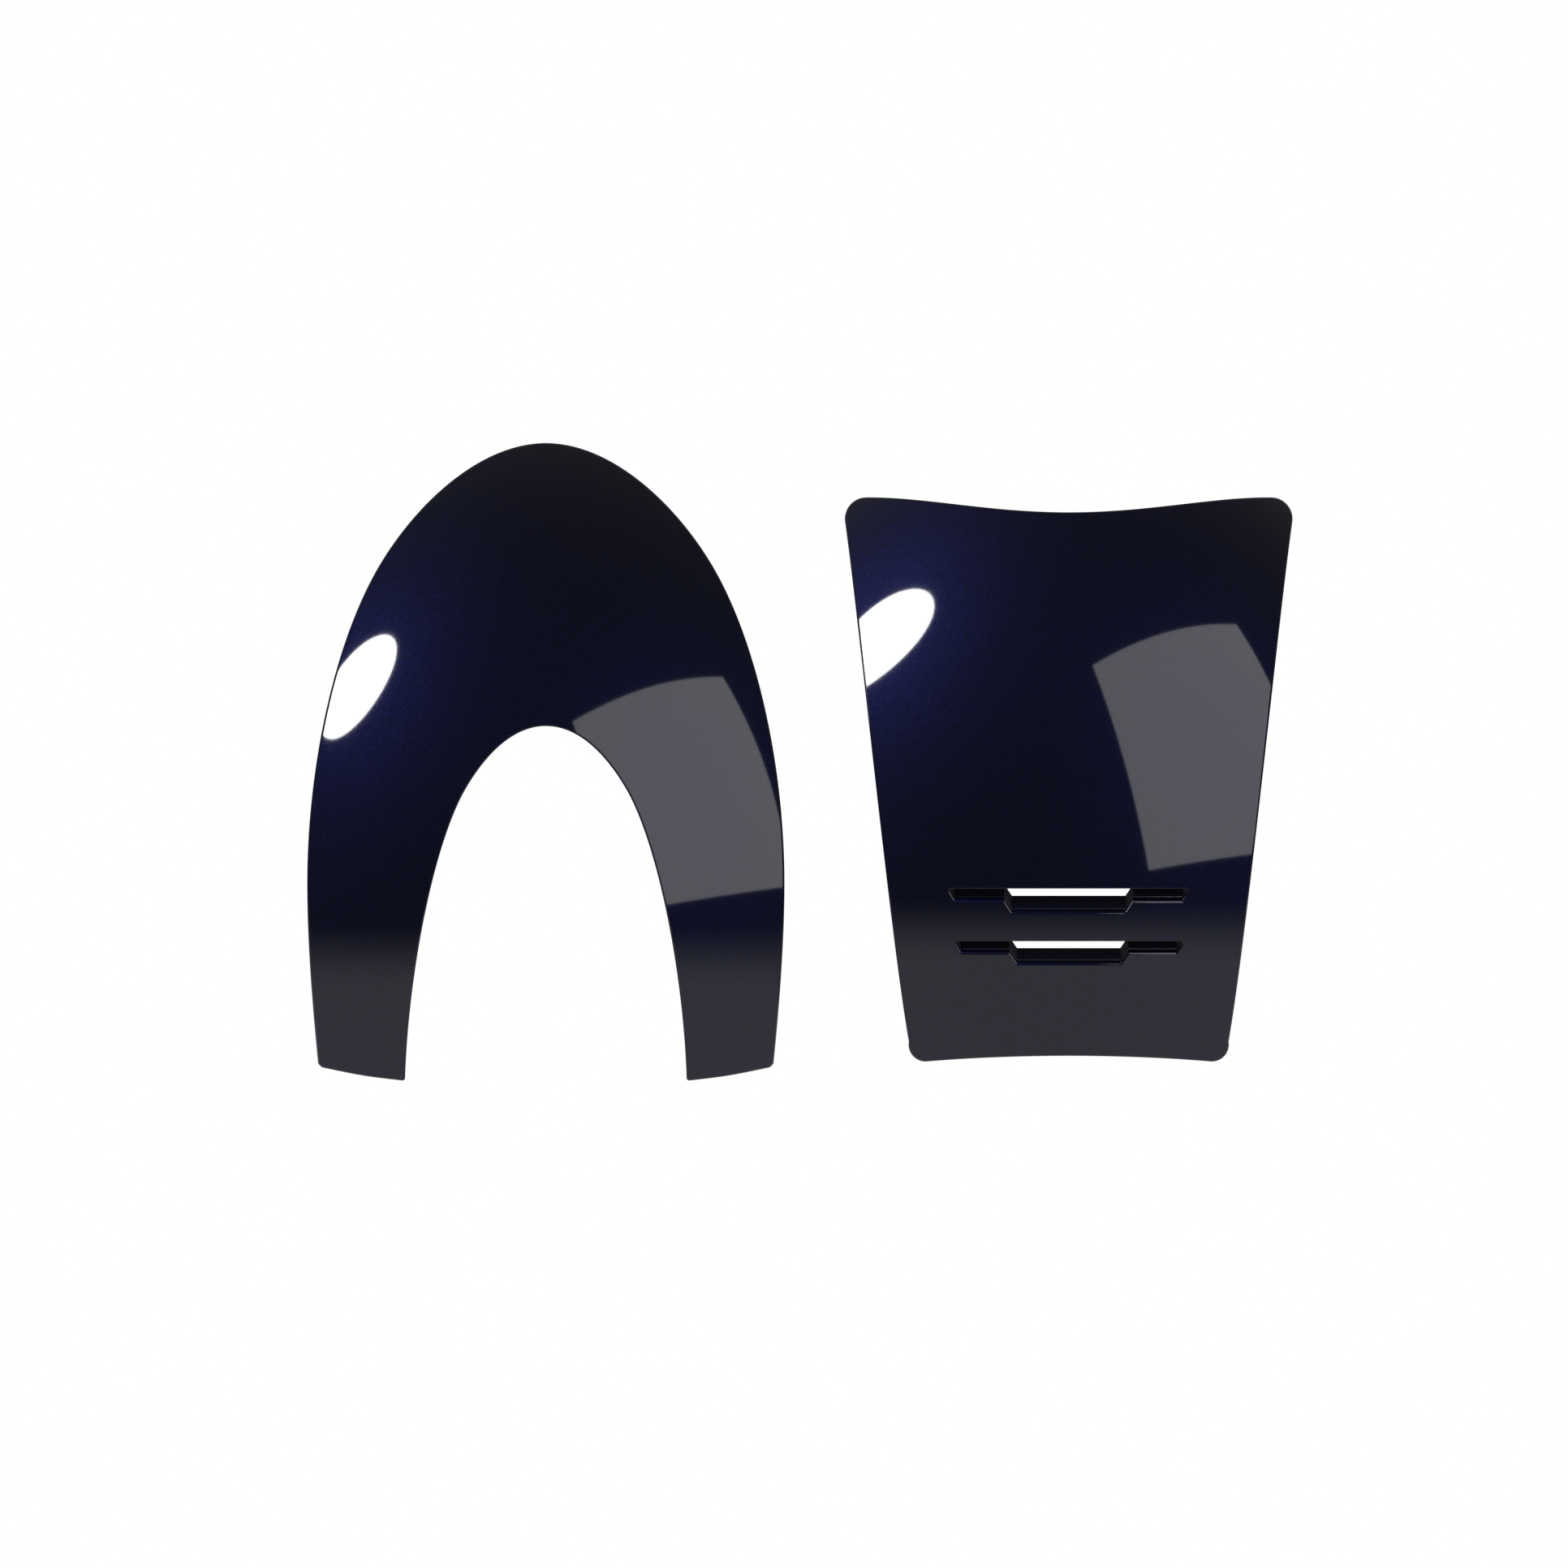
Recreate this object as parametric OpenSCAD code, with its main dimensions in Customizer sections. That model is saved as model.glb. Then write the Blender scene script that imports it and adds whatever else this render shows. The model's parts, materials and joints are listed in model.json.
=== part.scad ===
// A pair of protective guard shells: an arch-shaped one, open between its arms, and a
// tapered shield with two louvred slots. Each is a painted cover that pushes onto a
// moulded carrier, which bolts to the equipment that it guards.
// X runs to the right, -Y to the front, +Z up. The origin is at the bottom centre of the pair.

/* [Form] */
// Radius of the barrel-shaped form at its widest level, shared by both shells
form_r = 245; // [200:1:300]
// Radius of the form's side profile, in a vertical plane through its axis
form_arc_r = 315; // [300:1:420]
// Gap between the two shells, side by side
pair_gap = 33.3; // [5:0.1:120]

/* [Arch] */
// Overall width of the arch
arch_w = 264.8; // [220:0.2:320]
// Height of its crown above the form's widest level
arch_crown = 278.8; // [230:0.2:286]
// Depth of its feet below the form's widest level
arch_drop = 75; // [60:0.5:92]
// How much higher a foot's outer corner is than its inner one
foot_rise = 9.5; // [4:0.5:12]
// Width of the opening between the feet
opening_w = 156; // [130:0.5:168]
// Height of the opening's top above the form's widest level
opening_top = 121.7; // [100:0.1:135]

/* [Shield] */
// Overall width across the shield's ears
shield_w = 248.4; // [207:0.2:300]
// Width just above its bottom corners
shield_bottom_w = 177.8; // [150:0.2:210]
// Height of the middle of its top edge above the form's widest level
shield_top = 225.9; // [190:0.1:270]
// How far the ears rise above the middle of the top edge
ear_rise = 8.3; // [4:0.1:14]
// Radius of the ears' corners
ear_r = 12; // [8:0.5:15]
// Depth of the middle of its bottom edge below the form's widest level
shield_drop = 75.6; // [66:0.1:92]
// How far the bottom edge's ends hang below its middle
hem_drop = 3.2; // [1:0.1:6]
// Radius of the bottom corners
hem_r = 9.5; // [6:0.5:12]
// How much higher the shield's lowest corners are than the arch's feet
shield_lift = 10.7; // [0:0.1:40]

/* [Slots] */
// Width of the upper slot at its top edge
slot_w = 133.6; // [112:0.2:140]
// How much narrower the lower slot is
slot_step_in = 6.8; // [0:0.2:16]
// Height of the upper slot's top edge above the form's widest level
slot_top = 16.3; // [12:0.1:24]
// Distance from the upper slot down to the lower one
slot_pitch = 29; // [27:0.5:32]
// Height of a slot's side wings
wing_h = 6.3; // [5:0.1:8]
// Height of a slot at its deeper centre
centre_h = 12.7; // [11:0.1:15]
// Width of the upper slot's centre at its bottom edge
centre_w = 63; // [50:0.5:74]
// Sideways lean of a slot's ends, per millimetre of height
end_lean = 0.72; // [0.4:0.02:1]
// Angle at which a duct rises as it runs back
duct_angle = 40; // [30:1:42]
// How far back a duct runs behind the cover's face
duct_depth = 11.5; // [9:0.5:13]
// Wall of the louvre inserts
louvre_wall = 1.6; // [1:0.1:2]
// Width of the flange that bonds an insert behind the cover
louvre_flange = 3.5; // [2.5:0.5:4.5]

/* [Layers behind the face] */
// Wall of the painted covers
cover_wall = 3; // [2:0.1:4]
// Space between a cover and its carrier
carrier_gap = 4; // [3.3:0.1:6]
// Wall of the carriers
carrier_wall = 3; // [2:0.1:4]
// How far the carriers stop short of the covers' edges
carrier_inset = 8; // [7:0.5:12]
// How far the stiffening rim stands in from the covers' edges
rim_inset = 18; // [17:0.5:22]
// Thickness of the stiffening rim and ribs
rib_t = 2.5; // [1.5:0.1:4]
// How far the rim stands out behind a carrier
rim_h = 6; // [3:0.5:8]
// How far the cross ribs stand out behind a carrier
rib_h = 4; // [2:0.5:6]
// Width of the rubber edge seals
seal_w = 5; // [3:0.5:7]
// Distance of the seals from the carriers' edges
seal_edge = 1.5; // [1:0.5:3]
// Width of the foam gasket round the slots
gasket_w = 4; // [3:0.5:5]
// Running clearance between a cover and what it passes
run_clear = 0.3; // [0.2:0.05:0.6]
// Glue line under bonded pieces
glue_line = 0.1; // [0.05:0.05:0.2]
// Thickness of the foam pads
pad_t = 3; // [2:0.5:5]

/* [Push studs] */
// Diameter of a stud's shank
stud_d = 6; // [5:0.1:7.2]
// Clearance between a shank and its grommet, on the radius
stud_clear = 0.05; // [0.02:0.01:0.1]
// Diameter of a stud's screwed root
root_d = 4; // [3:0.1:4.8]
// Length of the screwed root
root_l = 6; // [4:0.5:7]
// Size of a stud's hexagon collar, across its corners
collar_d = 10; // [9:0.5:12]
// Thickness of the collar
collar_t = 2; // [1.5:0.1:3]
// Diameter of the bosses on the covers
boss_d = 13; // [12:0.5:16]
// Outer diameter of a grommet's flanges
grommet_d = 19; // [16:0.5:19.5]
// Diameter of a grommet's neck
neck_d = 12.4; // [10.5:0.1:14]
// Thickness of each grommet flange
grommet_flange = 2.2; // [1.5:0.1:3]
// How much less a boss stands off behind the cover than half the grommets' diameter
boss_short = 1.5; // [0.5:0.1:2]
// Thickness of the seat that a grommet grips
seat_t = 3; // [2:0.1:4]
// Room between a grommet's flange and the cup round it
cup_clear = 1; // [0.5:0.1:2]
// Wall of the cups that hold the seats
cup_wall = 2.5; // [2:0.1:3]
// How far a stud's tip passes its grommet
tip_l = 2.6; // [1:0.1:5]

/* [Mounting points] */
// Diameter of the towers that carry the inserts
tower_d = 18; // [14:0.5:20]
// How far the shortest tower stands out behind its carrier
tower_stand = 9; // [6:0.5:20]
// How far the arch's mounting points stand in from its overall width, on each side
arch_mount_in = 40.4; // [38:0.2:44]
// Height of the arch's lower mounting points above the form's widest level
arch_mount_low = 28; // [22:1:34]
// Height of the arch's upper mounting points above the form's widest level
arch_mount_high = 150; // [140:1:156]
// How far the shield's mounting points stand in from its overall width, on each side
shield_mount_in = 58.2; // [56:0.2:61]
// Height of the shield's lower mounting points above the middle of its bottom edge
shield_mount_low = 25.6; // [22:0.2:28]
// Height of the shield's upper mounting points above the form's widest level
shield_mount_high = 130; // [124:1:150]
// Diameter of the threaded bore in an insert, cut for M5
insert_bore = 4.2; // [3.3:0.1:5]
// Outer diameter of an insert
insert_d = 7.1; // [6.2:0.1:8.4]
// Length of an insert
insert_l = 9.5; // [6:0.5:12]
// Spread of the gussets at a tower's foot, from its axis
gusset_r = 21; // [14:0.5:22]

/* [Bumpers] */
// Diameter of the rubber bumpers
bumper_d = 13; // [10:0.5:14]
// How far a bumper stands out behind its carrier, on the side where it is shortest
bumper_h = 5; // [3.5:0.5:12]
// Diameter of a bumper's stem
bumper_stem_d = 6; // [4:0.5:7]

/* [Hidden] */
$fn = 96;

// Steps that each drawn curve is divided into, and facets in the form's large circles
curve_steps = 12;
form_facets = 240;
// Slack that lets one solid cut cleanly through another
over = 1;
// Room left round bumpers and pads
part_clear = 0.5;
bumper_flare = 2;
pad_corner_r = 3;
// The form is drawn between these levels and out from this radius
form_low = -110;
form_high = 296;
form_core = 20;

// Depths below a cover's face of the layers behind it
carrier_front = cover_wall + carrier_gap;
carrier_back = carrier_front + carrier_wall;

// Places of the two shells' centres, and of the widest level, from the origin
pair_w = arch_w + pair_gap + shield_w;
arch_x = -pair_w / 2 + arch_w / 2;
shield_x = pair_w / 2 - shield_w / 2;
arch_level = arch_drop;
shield_level = shield_lift + shield_drop + hem_drop;
crown_back = form_front(0, arch_crown, cover_wall);
axis_y = (form_r + crown_back) / 2;

// Mounting points: sideways spacing, and lower and upper height from the widest level
arch_mount_w = arch_w - 2 * arch_mount_in;
arch_mount_z = [arch_mount_low, arch_mount_high];
shield_mount_w = shield_w - 2 * shield_mount_in;
shield_mount_z = [shield_mount_low - shield_drop, shield_mount_high];

// Where studs, pads and bumpers sit: right side only, as [x, z] from a shell's centre
arm_x = (opening_w / 2 + 0.94 * arch_w / 2) / 2;
arch_stud_at = [
    [arm_x, 47 - arch_drop],
    [0.333 * arch_w, 85],
    [0.16 * arch_w, 0.735 * arch_crown]
];
shield_stud_at = [
    [shield_w / 2 - 32.3, 0.788 * shield_top],
    [0.314 * shield_w, 60],
    [0.157 * shield_bottom_w, 21.6 - shield_drop]
];
arch_bumper_at = [arm_x, 23 - arch_drop];
shield_bumper_at = [shield_w / 2 - 20.2, shield_top + ear_rise - 21.2];
// Foam pads, as [x, z, width, height]
arch_pad_at = [
    [0, opening_top + 39, 50, 24],
    for (side = [-1, 1]) [side * 0.265 * arch_w, opening_top - 2, 26, 22]
];
shield_pad_at = [
    [0, 0.788 * shield_top, 70, 22],
    [0, 27.6 - shield_drop, 20, 14],
    for (side = [-1, 1]) [side * 0.31 * shield_w, 92, 16, 26]
];
// Where the carrier behind the slots is cut away
vent_clear = 1;
vent_w = slot_w + 2 * (louvre_flange + vent_clear);
vent_top = slot_top + duct_depth * tan(duct_angle) + 2 * louvre_wall + 2 * vent_clear;
vent_low = slot_top - slot_pitch - centre_h - louvre_flange - vent_clear;
vent_r = 8;
// Windows that lighten the shield's carrier, two wide and two high
window_w = 44;
window_h = 38;
window_x = 29;
window_z = [71, 121];
window_r = 6;

// Levels of the cross ribs
arch_rib_z = [-8, 52, 0.675 * arch_crown, 0.832 * arch_crown];
shield_rib_z = [vent_low - 3, vent_top + 6, 0.708 * shield_top, 0.868 * shield_top];

// ---- Curves

function cubic(p, t) =
    pow(1 - t, 3) * p[0] + 3 * pow(1 - t, 2) * t * p[1] + 3 * (1 - t) * t * t * p[2]
    + pow(t, 3) * p[3];
function curve(p) = [for (i = [1:curve_steps]) cubic(p, i / curve_steps)];
function arc(centre, r, from, to) =
    [for (i = [1:curve_steps]) let (a = from + (to - from) * i / curve_steps)
        centre + r * [cos(a), sin(a)]];
function mirrored(points) = [for (i = [len(points) - 1:-1:0]) [-points[i][0], points[i][1]]];

// ---- The form: a barrel turned about an upright axis

// Its radius at height z, sunk by depth below the face
function form_radius(z, depth) =
    form_r - form_arc_r + sqrt(pow(form_arc_r - depth, 2) - z * z);
// How far in front of the axis its face stands at x and z
function form_front(x, z, depth) = sqrt(pow(form_radius(z, depth), 2) - x * x);

module form_profile(depth) {
    intersection() {
        translate([form_r - form_arc_r, 0])
            circle(r = form_arc_r - depth, $fn = form_facets);
        translate([form_core, form_low])
            square([form_r, form_high - form_low]);
    }
}

// Everything of the form's front half that lies deeper than this
module form_solid(depth) {
    rotate_extrude(angle = 180, start = 180, $fn = form_facets)
        form_profile(depth);
}

// The layer between two depths
module form_layer(from, to) {
    rotate_extrude(angle = 180, start = 180, $fn = form_facets)
        difference() {
            form_profile(from);
            form_profile(to);
        }
}

// A flat outline in x and z, run from the front of the form back to its axis
module through() {
    rotate([90, 0, 0])
        linear_extrude(form_r + over)
            children();
}

// A rod along Y, from y = from back to y = to
module rod(x, z, r, from, to) {
    translate([x, to, z])
        rotate([90, 0, 0])
            cylinder(r = r, h = to - from);
}

// Children drawn at x and again at -x
module both_sides() {
    children();
    mirror([1, 0, 0])
        children();
}

module rounded_rect(w, h, r) {
    square([w - 2 * r, h], center = true);
    square([w, h - 2 * r], center = true);
    for (x = [-1, 1], y = [-1, 1])
        translate([x * (w / 2 - r), y * (h / 2 - r)])
            circle(r = r);
}

// Puts a shell's own frame, with its form's axis and widest level, into the pair
module at_arch() {
    translate([arch_x, axis_y, arch_level])
        children();
}
module at_shield() {
    translate([shield_x, axis_y, shield_level])
        children();
}

// ---- Outlines, each from its right half

arch_half = arch_w / 2;
arch_widest_z = 0.123 * arch_crown;
shoulder = [0.715 * arch_half, 0.742 * arch_crown];
foot_outer = [0.954 * arch_half, foot_rise - arch_drop];
foot_chamfer = 2;
foot_inner = [opening_w / 2, -arch_drop];
arch_outside = concat(
    [[0, arch_crown]],
    curve([[0, arch_crown], [0.289 * arch_half, arch_crown],
        [0.569 * arch_half, 0.867 * arch_crown], shoulder]),
    curve([shoulder, [0.887 * arch_half, 0.595 * arch_crown],
        [arch_half, 0.355 * arch_crown], [arch_half, arch_widest_z]]),
    curve([[arch_half, arch_widest_z], [arch_half, 0.2 * arch_widest_z],
        [0.984 * arch_half, 0.4 * foot_outer[1]], foot_outer])
);
foot_start = foot_outer - [foot_chamfer, foot_chamfer];
foot_bend = [(foot_start[0] + foot_inner[0]) / 2, 0.35 * foot_start[1] + 0.65 * foot_inner[1]];
foot_edge = concat([foot_start], curve([foot_start, foot_bend, foot_bend, foot_inner]));
opening_half = opening_w / 2;
opening_knee = [0.576 * opening_half, 0.707 * opening_top];
opening_side = concat(
    [[0, opening_top]],
    curve([[0, opening_top], [0.262 * opening_half, opening_top],
        [0.46 * opening_half, 0.837 * opening_top], opening_knee]),
    curve([opening_knee, [0.801 * opening_half, 0.45 * opening_top],
        [0.98 * opening_half, 0.235 * -arch_drop], foot_inner])
);

// The arch with its opening filled
module arch_filled() {
    side = concat(arch_outside, foot_edge);
    polygon(concat(side, mirrored(side)));
}
// The opening, run on below the feet by this much
module arch_opening(below) {
    side = concat(opening_side, [foot_inner - [0, below]]);
    polygon(concat(side, mirrored(side)));
}
module arch_outline() {
    difference() {
        arch_filled();
        arch_opening(form_r);
    }
}

shield_half = shield_w / 2;
ear_centre = [shield_half - ear_r, shield_top + ear_rise - ear_r];
hem_centre = [shield_bottom_w / 2 - hem_r, hem_r - shield_drop - hem_drop];
shield_height = shield_top + shield_drop;
side_from = ear_centre + [ear_r * cos(-8), ear_r * sin(-8)];
side_to = hem_centre + [hem_r * cos(10), hem_r * sin(10)];
shield_side = concat(
    [[0, shield_top]],
    curve([[0, shield_top], [0.36 * shield_half, shield_top],
        [0.64 * shield_half, ear_centre[1] + ear_r + 0.3], ear_centre + [0, ear_r]]),
    arc(ear_centre, ear_r, 90, -8),
    curve([side_from, side_from - [0.065 * shield_half, 0.19 * shield_height],
        side_to + [0.085 * shield_half, 0.2 * shield_height], side_to]),
    arc(hem_centre, hem_r, 10, -85),
    curve([hem_centre - [0, hem_r], [0.47 * shield_half, -shield_drop - 0.45 * hem_drop],
        [0.24 * shield_half, -shield_drop], [0, -shield_drop]])
);
module shield_outline() {
    polygon(concat(shield_side, mirrored(shield_side)));
}

// ---- Slots and louvres

// A slot is numbered 0 for the upper one and 1 for the lower one
function slot_z(i) = slot_top - i * slot_pitch;
function slot_half(i) = (slot_w - i * slot_step_in) / 2;
function centre_half(i) = (centre_w - i * slot_step_in) / 2;

// A ring about the form's axis with this height at the face, rising as it runs inwards
module rising_ring(low, high, from, to) {
    rotate_extrude(angle = 180, start = 180, $fn = form_facets)
        polygon([for (p = [[from, low], [to, low], [to, high], [from, high]])
            [form_r - p[0], p[1] + p[0] * tan(duct_angle)]]);
}

// A prism that leans back along the duct, with leaning ends, half wide at height z on the face
module leaning_prism(half, z) {
    reach = 40;
    translate([0, -form_front(half, z, 0), z])
        rotate([duct_angle - 90, 0, 0])
            translate([0, 0, -reach])
                linear_extrude(2 * reach)
                    polygon([for (s = [[-1, -1], [1, -1], [1, 1], [-1, 1]])
                        [s[0] * (half + s[1] * end_lean * reach),
                            -s[1] * reach * cos(duct_angle)]]);
}

// The free space of slot i, grown by this much all round, between two depths
module slot_space(i, grow, from, to) {
    rise = grow / cos(duct_angle);
    z = slot_z(i);
    intersection() {
        rising_ring(z - wing_h - rise, z + rise, from, to);
        leaning_prism(slot_half(i) + grow, z);
    }
    intersection() {
        rising_ring(z - centre_h - rise, z + rise, from, to);
        leaning_prism(centre_half(i) + grow, z - centre_h);
    }
}

// The insert behind slot i: a flange bonded to the cover, and the walls of the duct
module louvre(i) {
    face = cover_wall + glue_line;
    at_shield()
        difference() {
            union() {
                intersection() {
                    form_layer(face, face + louvre_wall);
                    through()
                        translate([0, slot_z(i) - centre_h / 2])
                            rounded_rect(2 * (slot_half(i) + louvre_flange),
                                centre_h + 2 * louvre_flange, louvre_flange);
                }
                intersection() {
                    slot_space(i, louvre_wall, 0, duct_depth);
                    form_solid(face);
                }
            }
            slot_space(i, 0, -over, duct_depth + over);
        }
}

// ---- Studs and grommets, all along Y

// Distances behind a cover's inner face, on a stud's axis
boss_h = grommet_d / 2 - boss_short;
collar_back = boss_h + collar_t;
grommet_front = collar_back + 0.5;
seat_front = grommet_front + grommet_flange;
seat_back = seat_front + seat_t;
grommet_back = seat_back + grommet_flange;
stud_back = grommet_back + tip_l;
function stud_y(p, depth) = depth - form_front(p[0], p[1], cover_wall);

module boss(p) {
    intersection() {
        form_solid(cover_wall / 2);
        rod(p[0], p[1], boss_d / 2, -form_r, stud_y(p, boss_h));
    }
}
module boss_hole(p) {
    rod(p[0], p[1], root_d / 2 + stud_clear, stud_y(p, boss_h - root_l - 0.5),
        stud_y(p, boss_h + over));
}
module stud(p) {
    tip_r = stud_d / 2 - 1;
    rod(p[0], p[1], root_d / 2, stud_y(p, boss_h - root_l), stud_y(p, boss_h));
    translate([p[0], stud_y(p, collar_back), p[1]])
        rotate([90, 0, 0])
            cylinder(d = collar_d, h = collar_t, $fn = 6);
    rod(p[0], p[1], stud_d / 2, stud_y(p, collar_back), stud_y(p, stud_back - 1));
    translate([p[0], stud_y(p, stud_back - 1), p[1]])
        rotate([-90, 0, 0])
            cylinder(r1 = stud_d / 2, r2 = tip_r, h = 1);
}
module grommet(p) {
    difference() {
        union() {
            rod(p[0], p[1], grommet_d / 2, stud_y(p, grommet_front), stud_y(p, seat_front));
            rod(p[0], p[1], neck_d / 2, stud_y(p, seat_front), stud_y(p, seat_back));
            rod(p[0], p[1], grommet_d / 2, stud_y(p, seat_back), stud_y(p, grommet_back));
        }
        rod(p[0], p[1], stud_d / 2 + stud_clear, stud_y(p, grommet_front - over),
            stud_y(p, grommet_back + over));
    }
}

// The cup that brings a carrier back to a grommet's seat, and what is cut out of it
cup_d = grommet_d + 2 * cup_clear;
module cup(p) {
    intersection() {
        form_solid(carrier_front);
        rod(p[0], p[1], cup_d / 2 + cup_wall, -form_r, stud_y(p, seat_back));
    }
}
module cup_holes(p) {
    rod(p[0], p[1], cup_d / 2, -form_r, stud_y(p, seat_front));
    rod(p[0], p[1], neck_d / 2 + glue_line, -form_r, stud_y(p, seat_back + over));
    rod(p[0], p[1], cup_d / 2, stud_y(p, seat_back), 0);
}

// ---- Carriers

function mount_y(w, levels) = tower_stand - form_front(w / 2, levels[1], carrier_back);
arch_mount_y = mount_y(arch_mount_w, arch_mount_z);
shield_mount_y = mount_y(shield_mount_w, shield_mount_z);

module tower(x, z, back) {
    rod(x, z, tower_d / 2, -form_r, back);
    for (turn = [0, 90])
        translate([x, 0, z])
            rotate([0, turn, 0])
                translate([0, 0, -rib_t / 2])
                    linear_extrude(rib_t)
                        polygon([
                            [-tower_d / 2 + 1, back - 4], [tower_d / 2 - 1, back - 4],
                            [gusset_r, -form_front(x, z, carrier_back)],
                            [gusset_r, -form_r], [-gusset_r, -form_r],
                            [-gusset_r, -form_front(x, z, carrier_back)]
                        ]);
}
module insert_hole(x, z, back) {
    rod(x, z, insert_d / 2 + glue_line / 2, back - insert_l, back + over);
    rod(x, z, insert_bore / 2 + 0.4, back - insert_l - 4, back);
}
module insert(x, z, back) {
    difference() {
        rod(x, z, insert_d / 2, back - insert_l, back);
        rod(x, z, insert_bore / 2, back - insert_l - over, back + over);
    }
}

// The rim and cross ribs within an outline, which give way round the bumpers and pads
module stiffeners(rib_levels, bumper_at, pads) {
    difference() {
        union() {
            intersection() {
                form_layer(carrier_front, carrier_back + rim_h);
                through()
                    difference() {
                        offset(delta = -rim_inset)
                            children();
                        offset(delta = -rim_inset - rib_t)
                            children();
                    }
            }
            intersection() {
                form_layer(carrier_front, carrier_back + rib_h);
                through()
                    intersection() {
                        offset(delta = -rim_inset - rib_t / 2)
                            children();
                        for (z = rib_levels)
                            translate([-form_r, z - rib_t / 2])
                                square([2 * form_r, rib_t]);
                    }
            }
        }
        both_sides()
            rod(bumper_at[0], bumper_at[1], bumper_d / 2 + part_clear, -form_r, 0);
        through()
            pad_shapes(pads, part_clear);
    }
}

// A carrier within an outline, before its holes: layer, rim, ribs, cups and towers
module carrier_body(studs, mount_w, mount_levels, back, rib_levels, bumper_at, pads) {
    intersection() {
        union() {
            form_layer(carrier_front, carrier_back);
            stiffeners(rib_levels, bumper_at, pads)
                children();
            intersection() {
                form_solid(carrier_front);
                both_sides()
                    for (z = mount_levels)
                        tower(mount_w / 2, z, back);
            }
        }
        through()
            offset(delta = -carrier_inset)
                children();
    }
    both_sides()
        for (p = studs)
            cup(p);
}
module carrier_holes(studs, mount_w, mount_levels, back, bumper_at) {
    both_sides() {
        for (p = studs)
            cup_holes(p);
        for (z = mount_levels)
            insert_hole(mount_w / 2, z, back);
        rod(bumper_at[0], bumper_at[1], bumper_stem_d / 2 + glue_line, -form_r, 0);
    }
}

// A rubber bumper with a stem through the carrier, on the side given by side = -1 or 1
module bumper(at, side) {
    x = side * at[0];
    reach = bumper_d / 2;
    low_side = -form_front(at[0] + reach, abs(at[1]) + reach, carrier_back);
    end = low_side + bumper_h;
    intersection() {
        form_solid(carrier_back + glue_line);
        rod(x, at[1], reach, -form_r, end - bumper_flare);
    }
    translate([x, end - bumper_flare, at[1]])
        rotate([-90, 0, 0])
            cylinder(r1 = reach, r2 = reach - bumper_flare, h = bumper_flare);
    intersection() {
        form_solid(carrier_front);
        rod(x, at[1], bumper_stem_d / 2, -form_r, end - bumper_h / 2);
    }
}

// ---- Seals and pads

module seal_layer() {
    intersection() {
        form_layer(cover_wall + run_clear, carrier_front - glue_line);
        through()
            children();
    }
}
module pad_shapes(pads, grow) {
    for (p = pads)
        translate([p[0], p[1]])
            rounded_rect(p[2] + 2 * grow, p[3] + 2 * grow, pad_corner_r + grow);
}
module foam_pads(pads) {
    intersection() {
        form_layer(carrier_back + glue_line, carrier_back + glue_line + pad_t);
        through()
            pad_shapes(pads, 0);
    }
}

// ---- The arch

module arch_cover() {
    color([0.06, 0.07, 0.17])
        at_arch()
            difference() {
                union() {
                    intersection() {
                        form_layer(0, cover_wall);
                        through()
                            arch_outline();
                    }
                    both_sides()
                        for (p = arch_stud_at)
                            boss(p);
                }
                both_sides()
                    for (p = arch_stud_at)
                        boss_hole(p);
            }
}

module arch_studs() {
    color([0.72, 0.73, 0.75])
        at_arch()
            both_sides()
                for (p = arch_stud_at)
                    stud(p);
}

module arch_carrier() {
    color([0.05, 0.05, 0.05])
        at_arch()
            difference() {
                carrier_body(arch_stud_at, arch_mount_w, arch_mount_z, arch_mount_y, arch_rib_z,
                    arch_bumper_at, arch_pad_at)
                    arch_outline();
                carrier_holes(arch_stud_at, arch_mount_w, arch_mount_z, arch_mount_y,
                    arch_bumper_at);
            }
}

module arch_grommets() {
    color([0.12, 0.12, 0.12])
        at_arch()
            both_sides()
                for (p = arch_stud_at)
                    grommet(p);
}

module arch_inserts() {
    color([0.72, 0.57, 0.25])
        at_arch()
            both_sides()
                for (z = arch_mount_z)
                    insert(arch_mount_w / 2, z, arch_mount_y);
}

module arch_outer_seal() {
    near = carrier_inset + seal_edge;
    color([0.08, 0.08, 0.08])
        at_arch()
            seal_layer()
                difference() {
                    intersection() {
                        offset(delta = -near)
                            arch_filled();
                        offset(delta = -carrier_inset)
                            arch_outline();
                    }
                    offset(delta = -near - seal_w)
                        arch_filled();
                    translate([-opening_w / 2 - near - seal_w - part_clear, -form_r])
                        square([opening_w + 2 * (near + seal_w + part_clear), form_r]);
                }
}

module arch_opening_seal() {
    near = carrier_inset + seal_edge;
    color([0.08, 0.08, 0.08])
        at_arch()
            seal_layer()
                difference() {
                    intersection() {
                        offset(delta = near + seal_w)
                            arch_opening(form_r);
                        offset(delta = -near)
                            arch_filled();
                    }
                    offset(delta = near)
                        arch_opening(form_r);
                }
}

module arch_foam_pads() {
    color([0.2, 0.2, 0.21])
        at_arch()
            foam_pads(arch_pad_at);
}

module arch_left_bumper() {
    color([0.1, 0.1, 0.1])
        at_arch()
            bumper(arch_bumper_at, -1);
}

module arch_right_bumper() {
    color([0.1, 0.1, 0.1])
        at_arch()
            bumper(arch_bumper_at, 1);
}

// ---- The shield

module shield_cover() {
    color([0.06, 0.07, 0.17])
        at_shield()
            difference() {
                union() {
                    intersection() {
                        form_layer(0, cover_wall);
                        through()
                            shield_outline();
                    }
                    both_sides()
                        for (p = shield_stud_at)
                            boss(p);
                }
                both_sides()
                    for (p = shield_stud_at)
                        boss_hole(p);
                for (i = [0, 1])
                    slot_space(i, 0, -over, cover_wall + over);
            }
}

module upper_louvre() {
    color([0.03, 0.03, 0.08])
        louvre(0);
}

module lower_louvre() {
    color([0.03, 0.03, 0.08])
        louvre(1);
}

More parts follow.
